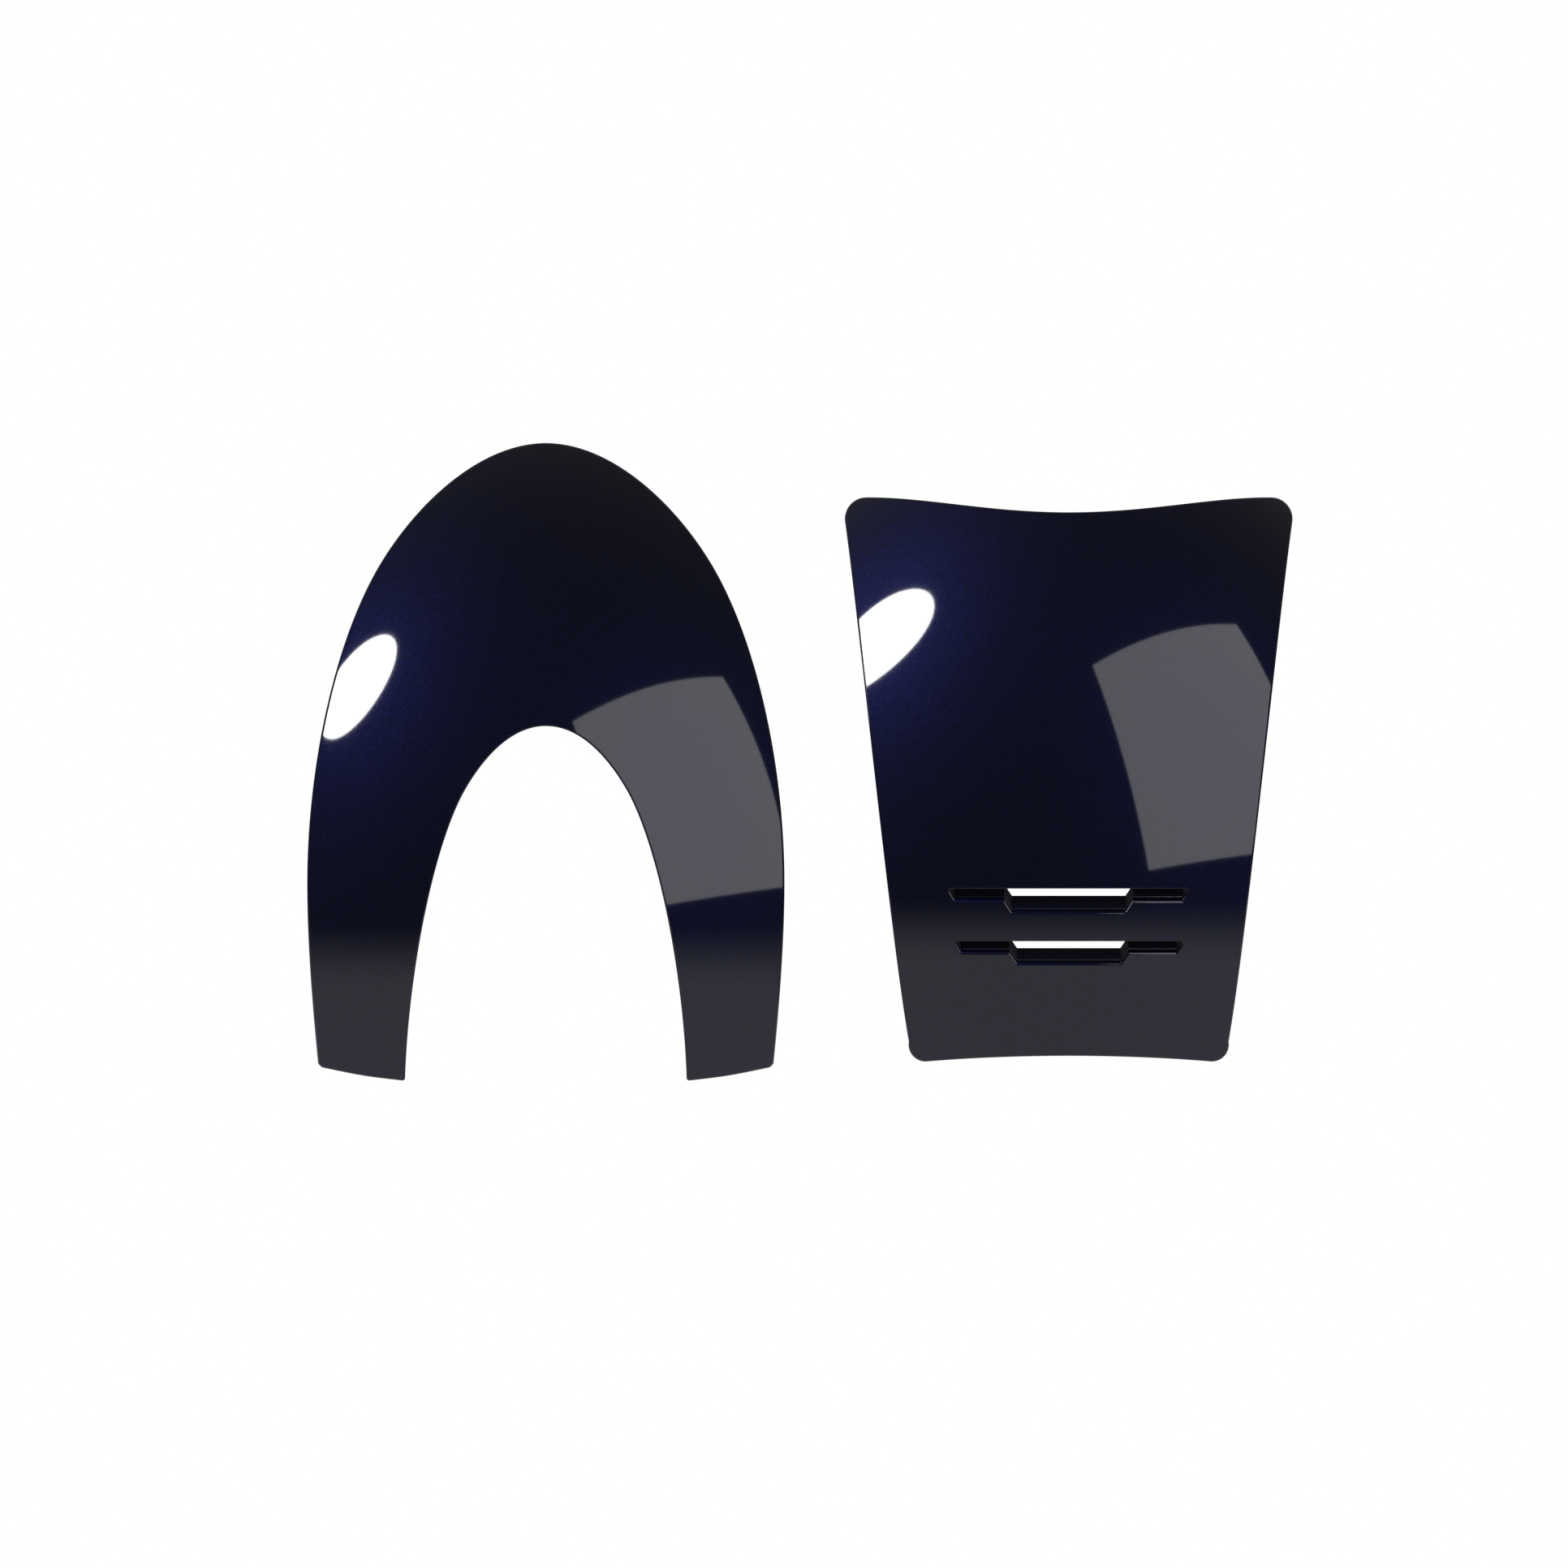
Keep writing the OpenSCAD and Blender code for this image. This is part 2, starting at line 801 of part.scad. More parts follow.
module shield_studs() {
    color([0.72, 0.73, 0.75])
        at_shield()
            both_sides()
                for (p = shield_stud_at)
                    stud(p);
}

module vent_shape() {
    translate([0, (vent_top + vent_low) / 2])
        rounded_rect(vent_w, vent_top - vent_low, vent_r);
}

module shield_carrier() {
    color([0.05, 0.05, 0.05])
        at_shield()
            difference() {
                carrier_body(shield_stud_at, shield_mount_w, shield_mount_z, shield_mount_y,
                    shield_rib_z, shield_bumper_at, shield_pad_at)
                    shield_outline();
                carrier_holes(shield_stud_at, shield_mount_w, shield_mount_z, shield_mount_y,
                    shield_bumper_at);
                through()
                    vent_shape();
                through()
                    for (x = [-window_x, window_x], z = window_z)
                        translate([x, z])
                            rounded_rect(window_w, window_h, window_r);
            }
}

module shield_grommets() {
    color([0.12, 0.12, 0.12])
        at_shield()
            both_sides()
                for (p = shield_stud_at)
                    grommet(p);
}

module shield_inserts() {
    color([0.72, 0.57, 0.25])
        at_shield()
            both_sides()
                for (z = shield_mount_z)
                    insert(shield_mount_w / 2, z, shield_mount_y);
}

module shield_edge_seal() {
    near = carrier_inset + seal_edge;
    color([0.08, 0.08, 0.08])
        at_shield()
            seal_layer()
                difference() {
                    offset(delta = -near)
                        shield_outline();
                    offset(delta = -near - seal_w)
                        shield_outline();
                }
}

module vent_gasket() {
    color([0.15, 0.15, 0.16])
        at_shield()
            seal_layer()
                difference() {
                    offset(delta = vent_clear + gasket_w)
                        vent_shape();
                    offset(delta = vent_clear)
                        vent_shape();
                }
}

module shield_foam_pads() {
    color([0.2, 0.2, 0.21])
        at_shield()
            foam_pads(shield_pad_at);
}

module shield_left_bumper() {
    color([0.1, 0.1, 0.1])
        at_shield()
            bumper(shield_bumper_at, -1);
}

module shield_right_bumper() {
    color([0.1, 0.1, 0.1])
        at_shield()
            bumper(shield_bumper_at, 1);
}

arch_cover();
arch_studs();
arch_carrier();
arch_grommets();
arch_inserts();
arch_outer_seal();
arch_opening_seal();
arch_foam_pads();
arch_left_bumper();
arch_right_bumper();
shield_cover();
upper_louvre();
lower_louvre();
shield_studs();
shield_carrier();
shield_grommets();
shield_inserts();
shield_edge_seal();
vent_gasket();
shield_foam_pads();
shield_left_bumper();
shield_right_bumper();
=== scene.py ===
import json
import math

import bpy
import numpy as np
from mathutils import Matrix, Vector
from mathutils.geometry import delaunay_2d_cdt

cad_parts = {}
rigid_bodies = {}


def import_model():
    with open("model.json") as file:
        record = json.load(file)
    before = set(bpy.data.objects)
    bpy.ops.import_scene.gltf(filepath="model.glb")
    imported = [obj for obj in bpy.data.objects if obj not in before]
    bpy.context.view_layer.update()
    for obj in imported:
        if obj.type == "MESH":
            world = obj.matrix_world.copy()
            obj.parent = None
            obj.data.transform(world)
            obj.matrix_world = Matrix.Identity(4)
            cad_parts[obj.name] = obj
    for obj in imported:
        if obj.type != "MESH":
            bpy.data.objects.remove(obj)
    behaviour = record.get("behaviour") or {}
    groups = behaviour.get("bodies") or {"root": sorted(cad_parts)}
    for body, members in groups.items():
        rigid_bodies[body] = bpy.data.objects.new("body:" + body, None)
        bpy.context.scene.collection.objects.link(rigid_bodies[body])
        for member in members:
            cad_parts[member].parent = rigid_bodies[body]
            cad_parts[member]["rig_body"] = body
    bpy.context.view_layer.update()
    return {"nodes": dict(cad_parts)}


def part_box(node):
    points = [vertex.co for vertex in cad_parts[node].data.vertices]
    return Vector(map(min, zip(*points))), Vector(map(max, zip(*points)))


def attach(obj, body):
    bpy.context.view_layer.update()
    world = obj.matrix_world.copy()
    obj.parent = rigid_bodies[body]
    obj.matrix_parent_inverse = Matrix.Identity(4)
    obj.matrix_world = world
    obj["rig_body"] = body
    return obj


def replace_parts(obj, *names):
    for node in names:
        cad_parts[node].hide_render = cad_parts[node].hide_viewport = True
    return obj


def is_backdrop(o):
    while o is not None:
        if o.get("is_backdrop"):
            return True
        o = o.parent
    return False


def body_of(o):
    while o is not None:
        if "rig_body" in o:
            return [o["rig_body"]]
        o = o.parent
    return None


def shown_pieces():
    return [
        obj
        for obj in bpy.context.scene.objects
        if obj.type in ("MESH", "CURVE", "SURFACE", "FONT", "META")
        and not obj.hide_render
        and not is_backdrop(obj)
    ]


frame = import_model()
nodes = frame["nodes"]
MM = 0.001

# ------------------------------------------------ the form (millimetres, as in the CAD)

FORM_R, ARC_R = 245.0, 315.0    # the barrel form at its widest level, and its side profile
CORE = FORM_R - ARC_R           # the profile's centre, from the form's axis
COVER_WALL = 3.0
CARRIER_FRONT, CARRIER_BACK = 7.0, 10.0     # the carrier's layer, from the cover's face


def form_radius(z, depth):
    """The form's radius at a level, for a surface this deep under the cover's face."""
    return CORE + np.sqrt((ARC_R - depth) ** 2 - np.square(z))


def form_y(x, z, depth):
    return -np.sqrt(form_radius(z, depth) ** 2 - np.square(x))


def form_normal(x, z, depth):
    rho = form_radius(z, depth)
    y = form_y(x, z, depth)
    n = np.stack([x / rho * (rho - CORE), y / rho * (rho - CORE), z + 0 * y], -1)
    return n / np.linalg.norm(n, axis=-1, keepdims=True)


# Both shells' forms have their axes in one upright plane; the shield reaches the full radius
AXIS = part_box("shield_cover")[0].y / MM + FORM_R


class Shell:
    """One shell's own frame: x and z from its centre and widest level, y from its form's axis."""

    def __init__(self, cover, top):
        low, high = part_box(cover)
        self.shift = np.array([(low.x + high.x) / 2 / MM, AXIS, high.z / MM - top])

    def place(self, points):
        return (np.asarray(points, float) + self.shift) * MM


ARCH_CROWN, SHIELD_TOP, EAR_RISE = 278.8, 225.9, 8.3
arch = Shell("arch_cover", ARCH_CROWN)
shield = Shell("shield_cover", SHIELD_TOP + EAR_RISE)

# ------------------------------------------------ outlines


def bezier(a, b, c, d, n=80):
    t = np.linspace(0, 1, n + 1)[:, None]
    a, b, c, d = (np.array(p, float) for p in (a, b, c, d))
    return (1 - t) ** 3 * a + 3 * (1 - t) ** 2 * t * b + 3 * (1 - t) * t * t * c + t ** 3 * d


def arc(centre, r, start, end, n=40):
    a = np.radians(np.linspace(start, end, n + 1))
    return np.array(centre) + r * np.stack([np.cos(a), np.sin(a)], -1)


def resampled(points, step):
    """Evenly spaced points along an open line, both ends kept."""
    points = np.asarray(points, float)
    gaps = np.linalg.norm(np.diff(points, axis=0), axis=1)
    points = points[np.concatenate([[True], gaps > 1e-9])]
    run = np.concatenate([[0], np.cumsum(np.linalg.norm(np.diff(points, axis=0), axis=1))])
    at = np.linspace(0, run[-1], max(2, int(round(run[-1] / step)) + 1))
    return np.stack([np.interp(at, run, points[:, k]) for k in (0, 1)], -1)


def along(points, start, end):
    """The part of an open line between two distances along it, from its two ends."""
    run = np.concatenate([[0], np.cumsum(np.linalg.norm(np.diff(points, axis=0), axis=1))])
    at = np.concatenate([[start], run[(run > start) & (run < run[-1] - end)], [run[-1] - end]])
    return np.stack([np.interp(at, run, points[:, k]) for k in (0, 1)], -1)


LEAST_TURN = 0.2    # radians: a smaller turn between two runs isn't a corner


def closed(runs, step, corner_r):
    """A closed loop from runs that meet end to end, with its corners rounded."""
    runs = [resampled(r, step / 4) for r in runs]
    cuts = []
    for k, run in enumerate(runs):
        after = runs[(k + 1) % len(runs)]
        u, v = run[-1] - run[-2], after[1] - after[0]
        turn = math.acos(np.clip(u @ v / np.linalg.norm(u) / np.linalg.norm(v), -1, 1))
        cuts.append(corner_r * math.tan(turn / 2) if turn > LEAST_TURN else 0.0)
    parts = []
    for k, run in enumerate(runs):
        kept = resampled(along(run, cuts[k - 1], cuts[k]), step)
        corner = run[-1]
        after = runs[(k + 1) % len(runs)]
        if cuts[k]:
            s, e = kept[-1], along(after, cuts[k], 0)[0]
            t = np.linspace(0, 1, 9)[:, None]
            bend = (1 - t) ** 2 * s + 2 * t * (1 - t) * corner + t * t * e
            kept = np.concatenate([kept[:-1], bend[:-1]])
        else:
            kept = kept[:-1]
        parts.append(kept)
    return np.concatenate(parts)


def mirrored(points):
    return np.asarray(points)[::-1] * [-1, 1]


def area(loop):
    x, z = loop[:, 0], loop[:, 1]
    return 0.5 * float(np.sum(x * np.roll(z, -1) - np.roll(x, -1) * z))


def inward(loop):
    """Unit normals to the left of the way round, which is into the material."""
    t = np.roll(loop, -1, 0) - np.roll(loop, 1, 0)
    t /= np.linalg.norm(t, axis=1, keepdims=True)
    return np.stack([-t[:, 1], t[:, 0]], -1)


def inside(points, loop):
    """Even-odd test of many points against one loop."""
    x, z = points[:, 0][:, None], points[:, 1][:, None]
    a, b = loop, np.roll(loop, -1, 0)
    cross = (a[:, 1] > z) != (b[:, 1] > z)
    rise = np.where(b[:, 1] == a[:, 1], 1, b[:, 1] - a[:, 1])
    at = a[:, 0] + (z - a[:, 1]) * (b[:, 0] - a[:, 0]) / rise
    return (np.sum(cross & (x < at), 1) % 2) == 1


STEP = 1.5      # spacing of the points along an outline
TRIM = 0.04     # how far the visible wall stays inside the CAD outline
CORNER_R = 1.8
ARCH_HALF, ARCH_DROP, OPENING_TOP, OPENING_HALF = 132.4, 75.0, 121.7, 78.0
FOOT_RISE = 9.5
widest = 0.123 * ARCH_CROWN
shoulder = (0.715 * ARCH_HALF, 0.742 * ARCH_CROWN)
foot_outer = (0.954 * ARCH_HALF, FOOT_RISE - ARCH_DROP)
foot_start = (foot_outer[0] - 2, foot_outer[1] - 2)
foot_inner = (OPENING_HALF, -ARCH_DROP)
foot_bend = ((foot_start[0] + foot_inner[0]) / 2, 0.35 * foot_start[1] + 0.65 * foot_inner[1])
arch_side = np.concatenate([
    bezier((0, ARCH_CROWN), (0.289 * ARCH_HALF, ARCH_CROWN),
           (0.569 * ARCH_HALF, 0.867 * ARCH_CROWN), shoulder),
    bezier(shoulder, (0.887 * ARCH_HALF, 0.595 * ARCH_CROWN),
           (ARCH_HALF, 0.355 * ARCH_CROWN), (ARCH_HALF, widest)),
    bezier((ARCH_HALF, widest), (ARCH_HALF, 0.2 * widest),
           (0.984 * ARCH_HALF, 0.4 * foot_outer[1]), foot_outer)])
arch_foot = bezier(foot_start, foot_bend, foot_bend, foot_inner)
knee = (0.576 * OPENING_HALF, 0.707 * OPENING_TOP)
opening_side = np.concatenate([
    bezier((0, OPENING_TOP), (0.262 * OPENING_HALF, OPENING_TOP),
           (0.46 * OPENING_HALF, 0.837 * OPENING_TOP), knee),
    bezier(knee, (0.801 * OPENING_HALF, 0.45 * OPENING_TOP),
           (0.98 * OPENING_HALF, -0.235 * ARCH_DROP), foot_inner)])
arch_loop = closed([
    mirrored(arch_side), arch_side, np.array([foot_outer, foot_start]), arch_foot,
    opening_side[::-1], mirrored(opening_side)[::-1],
    mirrored(arch_foot), np.array([foot_start, foot_outer]) * [-1, 1]], STEP, CORNER_R)[::-1]

SHIELD_HALF, SHIELD_DROP, BOTTOM_W = 124.2, 75.6, 177.8
HEM_DROP, HEM_R, EAR_R = 3.2, 9.5, 12.0
ear = np.array([SHIELD_HALF - EAR_R, SHIELD_TOP + EAR_RISE - EAR_R])
hem = np.array([BOTTOM_W / 2 - HEM_R, HEM_R - SHIELD_DROP - HEM_DROP])
tall = SHIELD_TOP + SHIELD_DROP
side_from = arc(ear, EAR_R, 90, -8)[-1]
side_to = arc(hem, HEM_R, 10, -85)[0]
shield_side = np.concatenate([
    bezier((0, SHIELD_TOP), (0.36 * SHIELD_HALF, SHIELD_TOP),
           (0.64 * SHIELD_HALF, ear[1] + EAR_R + 0.3), ear + [0, EAR_R]),
    arc(ear, EAR_R, 90, -8),
    bezier(side_from, side_from - [0.065 * SHIELD_HALF, 0.19 * tall],
           side_to + [0.085 * SHIELD_HALF, 0.2 * tall], side_to),
    arc(hem, HEM_R, 10, -85),
    bezier(hem - [0, HEM_R], (0.47 * SHIELD_HALF, -SHIELD_DROP - 0.45 * HEM_DROP),
           (0.24 * SHIELD_HALF, -SHIELD_DROP), (0, -SHIELD_DROP))])
shield_loop = closed([shield_side, mirrored(shield_side)], STEP, CORNER_R)[::-1]
for loop in (arch_loop, shield_loop):
    assert area(loop) > 0

# ------------------------------------------------ slots

SLOT_TOP, PITCH, SLOT_W, CENTRE_W, STEP_IN = 16.3, 29.0, 133.6, 63.0, 6.8
WING_H, CENTRE_H = 6.3, 12.7
LEAN = 0.72                             # how far the slots' ends lean in for each mm down
DUCT = math.tan(math.radians(40))       # how far the ducts rise for each mm inwards


def slot_size(i):
    """The level of slot i's top edge, half its width, and half its deeper middle's."""
    return SLOT_TOP - i * PITCH, (SLOT_W - STEP_IN * i) / 2, (CENTRE_W - STEP_IN * i) / 2


def slot_design(i):
    """Slot i's outline in duct coordinates, with the cover's material on its left."""
    z0, half, mid = slot_size(i)
    low, step = z0 - CENTRE_H, mid + LEAN * (CENTRE_H - WING_H)
    wing = half - LEAN * WING_H
    right = [(0, z0), (half, z0), (wing, z0 - WING_H), (step, z0 - WING_H), (mid, low), (0, low)]
    ring = np.array(right + [(-x, z) for x, z in right[-2:0:-1]], float)
    runs = [np.array([ring[k], ring[(k + 1) % len(ring)]]) for k in range(len(ring))]
    loop = closed(runs, 1.3, 1.5)
    return loop if area(loop) < 0 else loop[::-1]


def slot_at(i, design, depth):
    """Where that outline lies at a depth in the wall."""
    z0, half, mid = slot_size(i)
    u, h = design[:, 0], design[:, 1]
    z = h.copy()
    for _ in range(12):
        z = h + (FORM_R - form_radius(z, depth)) * DUCT
    wing = np.abs(u) > mid + LEAN * (CENTRE_H - WING_H) + 1
    start = np.where(wing, form_y(half, z0, 0), form_y(mid, z0 - CENTRE_H, 0))
    x = u.copy()
    for _ in range(6):
        lift = (form_y(x, z, depth) - start) * DUCT
        ease = np.clip(np.abs(u) / 20, 0, 1)
        x = u + np.sign(u) * LEAN * ease * ((z - lift) - h)
    return np.stack([x, z], -1)


# ------------------------------------------------ mesh helpers


def around(points):
    """Directions along each ring of points[k, i]."""
    return np.roll(points, -1, 1) - np.roll(points, 1, 1)


class Mesh:
    """Collects surfaces in a shell's frame and makes one object of them."""

    def __init__(self):
        self.v, self.n, self.f, self.m, self.count = [], [], [], [], 0

    def add(self, points, normals, faces, material=0):
        points = np.asarray(points, float).reshape(-1, 3)
        self.v.append(points)
        self.n.append(np.asarray(normals, float).reshape(-1, 3))
        self.f += [tuple(int(k) + self.count for k in f) for f in faces]
        self.m += [material] * len(faces)
        self.count += len(points)

    def grid(self, points, material=0, flip=False, normals=None):
        """Rows of points, each a closed ring joined to the next: points[k, i]."""
        rows, cols = points.shape[:2]
        if normals is None:
            normals = np.cross(np.gradient(points, axis=0), around(points))
            size = np.linalg.norm(normals, axis=-1, keepdims=True)
            normals = normals / np.where(size < 1e-12, 1, size)
            if flip:
                normals = -normals
        faces = []
        for k in range(rows - 1):
            for i in range(cols):
                j = (i + 1) % cols
                quad = (k * cols + i, (k + 1) * cols + i, (k + 1) * cols + j, k * cols + j)
                faces.append(quad[::-1] if flip else quad)
        self.add(points.reshape(-1, 3), normals.reshape(-1, 3), faces, material)

    def make(self, name, shell, materials, body, slot):
        mesh = bpy.data.meshes.new(name)
        mesh.from_pydata(shell.place(np.concatenate(self.v)).tolist(), [], self.f)
        mesh.polygons.foreach_set("material_index", self.m)
        mesh.polygons.foreach_set("use_smooth", [True] * len(self.f))
        for m in materials:
            mesh.materials.append(m)
        mesh.update()
        mesh.normals_split_custom_set_from_vertices(np.concatenate(self.n).tolist())
        piece = bpy.data.objects.new(name, mesh)
        bpy.context.scene.collection.objects.link(piece)
        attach(piece, body)
        return piece


def filled(loops, spacing):
    """Triangles that fill the first loop less the others, from their points and an even grid."""
    outer = loops[0]
    low, high = outer.min(0), outer.max(0)
    xs = np.arange(low[0], high[0], spacing)
    zs = np.arange(low[1], high[1], spacing * 0.866)    # rows of near equilateral triangles
    grid = np.array([(x + (spacing / 2 if k % 2 else 0), z) for k, z in enumerate(zs) for x in xs])
    keep = inside(grid, outer)
    for hole in loops[1:]:
        keep &= ~inside(grid, hole)
    grid = grid[keep]
    edge = np.concatenate(loops)
    clear = np.ones(len(grid), bool)
    batch = 2000
    for s in range(0, len(grid), batch):
        d = grid[s:s + batch, None, :] - edge[None]
        clear[s:s + batch] = (d ** 2).sum(-1).min(1) > (spacing * 0.5) ** 2
    grid = grid[clear]
    points = np.concatenate([edge, grid])
    edges, start = [], 0
    for loop in loops:
        n = len(loop)
        edges += [(start + k, start + (k + 1) % n) for k in range(n)]
        start += n
    _, _, fs, origin, _, _ = delaunay_2d_cdt([Vector(p) for p in points], edges, [], 1, 1e-7)
    index = [o[0] if o else -1 for o in origin]
    assert min(index) >= 0
    tri = np.array([[index[k] for k in f] for f in fs if len(f) == 3])
    mid = points[tri].mean(1)
    ok = inside(mid, outer)
    for hole in loops[1:]:
        ok &= ~inside(mid, hole)
    tri = tri[ok]
    a, b, c = points[tri[:, 0]], points[tri[:, 1]], points[tri[:, 2]]
    turn = (b[:, 0] - a[:, 0]) * (c[:, 1] - a[:, 1]) - (b[:, 1] - a[:, 1]) * (c[:, 0] - a[:, 0])
    tri[turn < 0] = tri[turn < 0][:, ::-1]
    return points, tri


EDGE_R, SLOT_EDGE_R, BACK_EDGE_R = 1.1, 0.9, 0.5
FACE_SPACING, BACK_SPACING = 3.2, 5.0


def cover_mesh(outline, slots):
    """A cover's wall: face, rounded edges, walls of its slots, and back."""
    mesh = Mesh()
    front_loops, back_loops = [], []
    quarter = np.linspace(0, 90, 8)
    for at, r in [(lambda depth: outline, EDGE_R)] + [(f, SLOT_EDGE_R) for f in slots]:
        rows = [(r * (1 - math.sin(math.radians(q))), r * (1 - math.cos(math.radians(q))))
                for q in quarter]
        rows += [(0, d) for d in np.linspace(r, COVER_WALL - BACK_EDGE_R, 4)[1:]]
        rows += [(BACK_EDGE_R * (1 - math.cos(math.radians(q))),
                  COVER_WALL - BACK_EDGE_R * (1 - math.sin(math.radians(q))))
                 for q in (22, 45, 68, 90)]
        points = []
        for inset, depth in rows:
            loop = at(depth)
            p = loop + inward(loop) * (inset + TRIM)
            points.append(np.stack([p[:, 0], form_y(p[:, 0], p[:, 1], depth), p[:, 1]], -1))
        points = np.array(points)
        normals = np.cross(np.gradient(points, axis=0), around(points))
        normals /= np.linalg.norm(normals, axis=-1, keepdims=True)
        normals[0] = form_normal(points[0, :, 0], points[0, :, 2], 0)
        normals[-1] = -form_normal(points[-1, :, 0], points[-1, :, 2], COVER_WALL)
        mesh.grid(points, normals=normals)
        front_loops.append(points[0][:, [0, 2]])
        back_loops.append(points[-1][:, [0, 2]])
    for loops, depth, material in ((front_loops, 0.0, 0), (back_loops, COVER_WALL, 1)):
        p, tri = filled(loops, BACK_SPACING if material else FACE_SPACING)
        y = form_y(p[:, 0], p[:, 1], depth)
        n = form_normal(p[:, 0], p[:, 1], depth)
        if material:
            n, tri = -n, tri[:, ::-1]
        mesh.add(np.stack([p[:, 0], y, p[:, 1]], -1), n, tri.tolist(), material)
    return mesh


def both_sides(points):
    return [(s * x, z) for x, z in points for s in (-1, 1)]


# Where the studs are, as in the CAD
ARM_X = (OPENING_HALF + 0.94 * ARCH_HALF) / 2
arch_studs = both_sides([(ARM_X, 47 - ARCH_DROP), (0.666 * ARCH_HALF, 85),
                         (0.32 * ARCH_HALF, 0.735 * ARCH_CROWN)])
shield_studs = both_sides([(SHIELD_HALF - 32.3, 0.788 * SHIELD_TOP), (0.628 * SHIELD_HALF, 60),
                           (0.157 * BOTTOM_W, 21.6 - SHIELD_DROP)])


def axis_y(p, behind):
    """A distance behind the cover's inner face, on the axis through p."""
    return behind + float(form_y(p[0], p[1], COVER_WALL))


def turned(mesh, p, profile, material=0, segments=48, flip=False):
    """A surface turned about Y through p, from (radius, y) pairs; y may be a function of x, z."""
    a = np.linspace(0, 2 * np.pi, segments, endpoint=False)
    rows = []
    for r, y in profile:
        x, z = p[0] + r * np.cos(a), p[1] + r * np.sin(a)
        y = y(x, z) if callable(y) else np.full(segments, float(y))
        rows.append(np.stack([x, y, z], -1))
    mesh.grid(np.array(rows), material, flip=flip)


BOSS_R, BOSS_H = 6.5, 8.0
SCREW_R, SCREW_DEPTH = 2.05, 7.0


def add_bosses(mesh, studs, material):
    """Bosses behind the studs, with a fillet where each meets the wall and a screw's hole."""
    for p in studs:
        top = axis_y(p, BOSS_H)

        def rise(share, lift):
            def y(x, z):
                wall = form_y(x, z, COVER_WALL)
                return wall - 0.05 + np.minimum(lift, share * (top - wall))
            return y

        for run in (
                [(BOSS_R + 1.6, rise(0, 0)), (BOSS_R + 0.85, rise(0.05, 0.18)),
                 (BOSS_R + 0.35, rise(0.15, 0.6)), (BOSS_R + 0.08, rise(0.3, 1.2)),
                 (BOSS_R, rise(0.45, 1.8))],
                [(BOSS_R, rise(0.45, 1.8)), (BOSS_R, top - 0.5)],
                [(BOSS_R, top - 0.5), (BOSS_R - 0.15, top - 0.15), (BOSS_R - 0.5, top)],
                [(BOSS_R - 0.5, top), (SCREW_R + 0.45, top)],
                [(SCREW_R + 0.45, top), (SCREW_R, top - 0.5)],
                [(SCREW_R, top - 0.5), (SCREW_R, top - SCREW_DEPTH)]):
            turned(mesh, p, run, material)


# ------------------------------------------------ materials


def new_material(name):
    """An empty node material: the material, its tree and its shader."""
    m = bpy.data.materials.new(name)
    m.use_nodes = True
    t = m.node_tree
    t.nodes.clear()
    out = t.nodes.new("ShaderNodeOutputMaterial")
    shader = t.nodes.new("ShaderNodeBsdfPrincipled")
    t.links.new(shader.outputs["BSDF"], out.inputs["Surface"])
    return m, t, shader


def node(t, kind, **values):
    """A shader node with these socket values and properties."""
    n = t.nodes.new("ShaderNode" + kind)
    for k, v in values.items():
        if k in n.inputs:
            n.inputs[k].default_value = v
        else:
            setattr(n, k, v)
    return n


def coordinates(t):
    return t.nodes.new("ShaderNodeTexCoord").outputs["Object"]


def noise(t, scale, detail=2.0):
    n = node(t, "TexNoise", Scale=scale, Detail=detail, Roughness=0.5)
    t.links.new(coordinates(t), n.inputs["Vector"])
    return n.outputs["Fac"]


def ramp(t, value, stops):
    """A value turned into a colour, by (place, colour) stops."""
    n = t.nodes.new("ShaderNodeValToRGB")
    e = n.color_ramp.elements
    while len(e) < len(stops):
        e.new(0.5)
    for k, (at, colour) in enumerate(stops):
        e[k].position = at
        e[k].color = (*colour, 1)
    t.links.new(value, n.inputs["Fac"])
    return n.outputs["Color"]


def spread(t, value, low, high):
    """A 0 to 1 value mapped to low to high."""
    n = node(t, "MapRange")
    n.inputs["To Min"].default_value = low
    n.inputs["To Max"].default_value = high
    t.links.new(value, n.inputs["Value"])
    return n.outputs["Result"]


def bump(t, height, distance, strength=1.0, normal=None):
    n = node(t, "Bump", Strength=strength, Distance=distance)
    t.links.new(height, n.inputs["Height"])
    if normal is not None:
        t.links.new(normal, n.inputs["Normal"])
    return n.outputs["Normal"]


def rounded_edges(t, radius):
    n = node(t, "Bevel", Radius=radius)
    n.samples = 4
    return n.outputs["Normal"]


def paint():
    m, t, s = new_material("midnight_blue_flake_paint")
    flakes = node(t, "TexVoronoi", Scale=2400.0)
    t.links.new(coordinates(t), flakes.inputs["Vector"])
    split = t.nodes.new("ShaderNodeSeparateColor")
    t.links.new(flakes.outputs["Color"], split.inputs["Color"])
    t.links.new(ramp(t, split.outputs[0], [
        (0.0, (0.0008, 0.0012, 0.010)), (0.6, (0.0013, 0.0018, 0.018)),
        (1.0, (0.0036, 0.0050, 0.046))]), s.inputs["Base Color"])
    s.inputs["Metallic"].default_value = 1.0
    t.links.new(spread(t, split.outputs[1], 0.44, 0.58), s.inputs["Roughness"])
    t.links.new(bump(t, split.outputs[2], 0.00006, 0.35), s.inputs["Normal"])
    s.inputs["Coat Weight"].default_value = 1.0
    s.inputs["Coat Roughness"].default_value = 0.045
    s.inputs["Coat IOR"].default_value = 1.5
    t.links.new(bump(t, noise(t, 260.0, 1.5), 0.00001, 0.06), s.inputs["Coat Normal"])
    return m


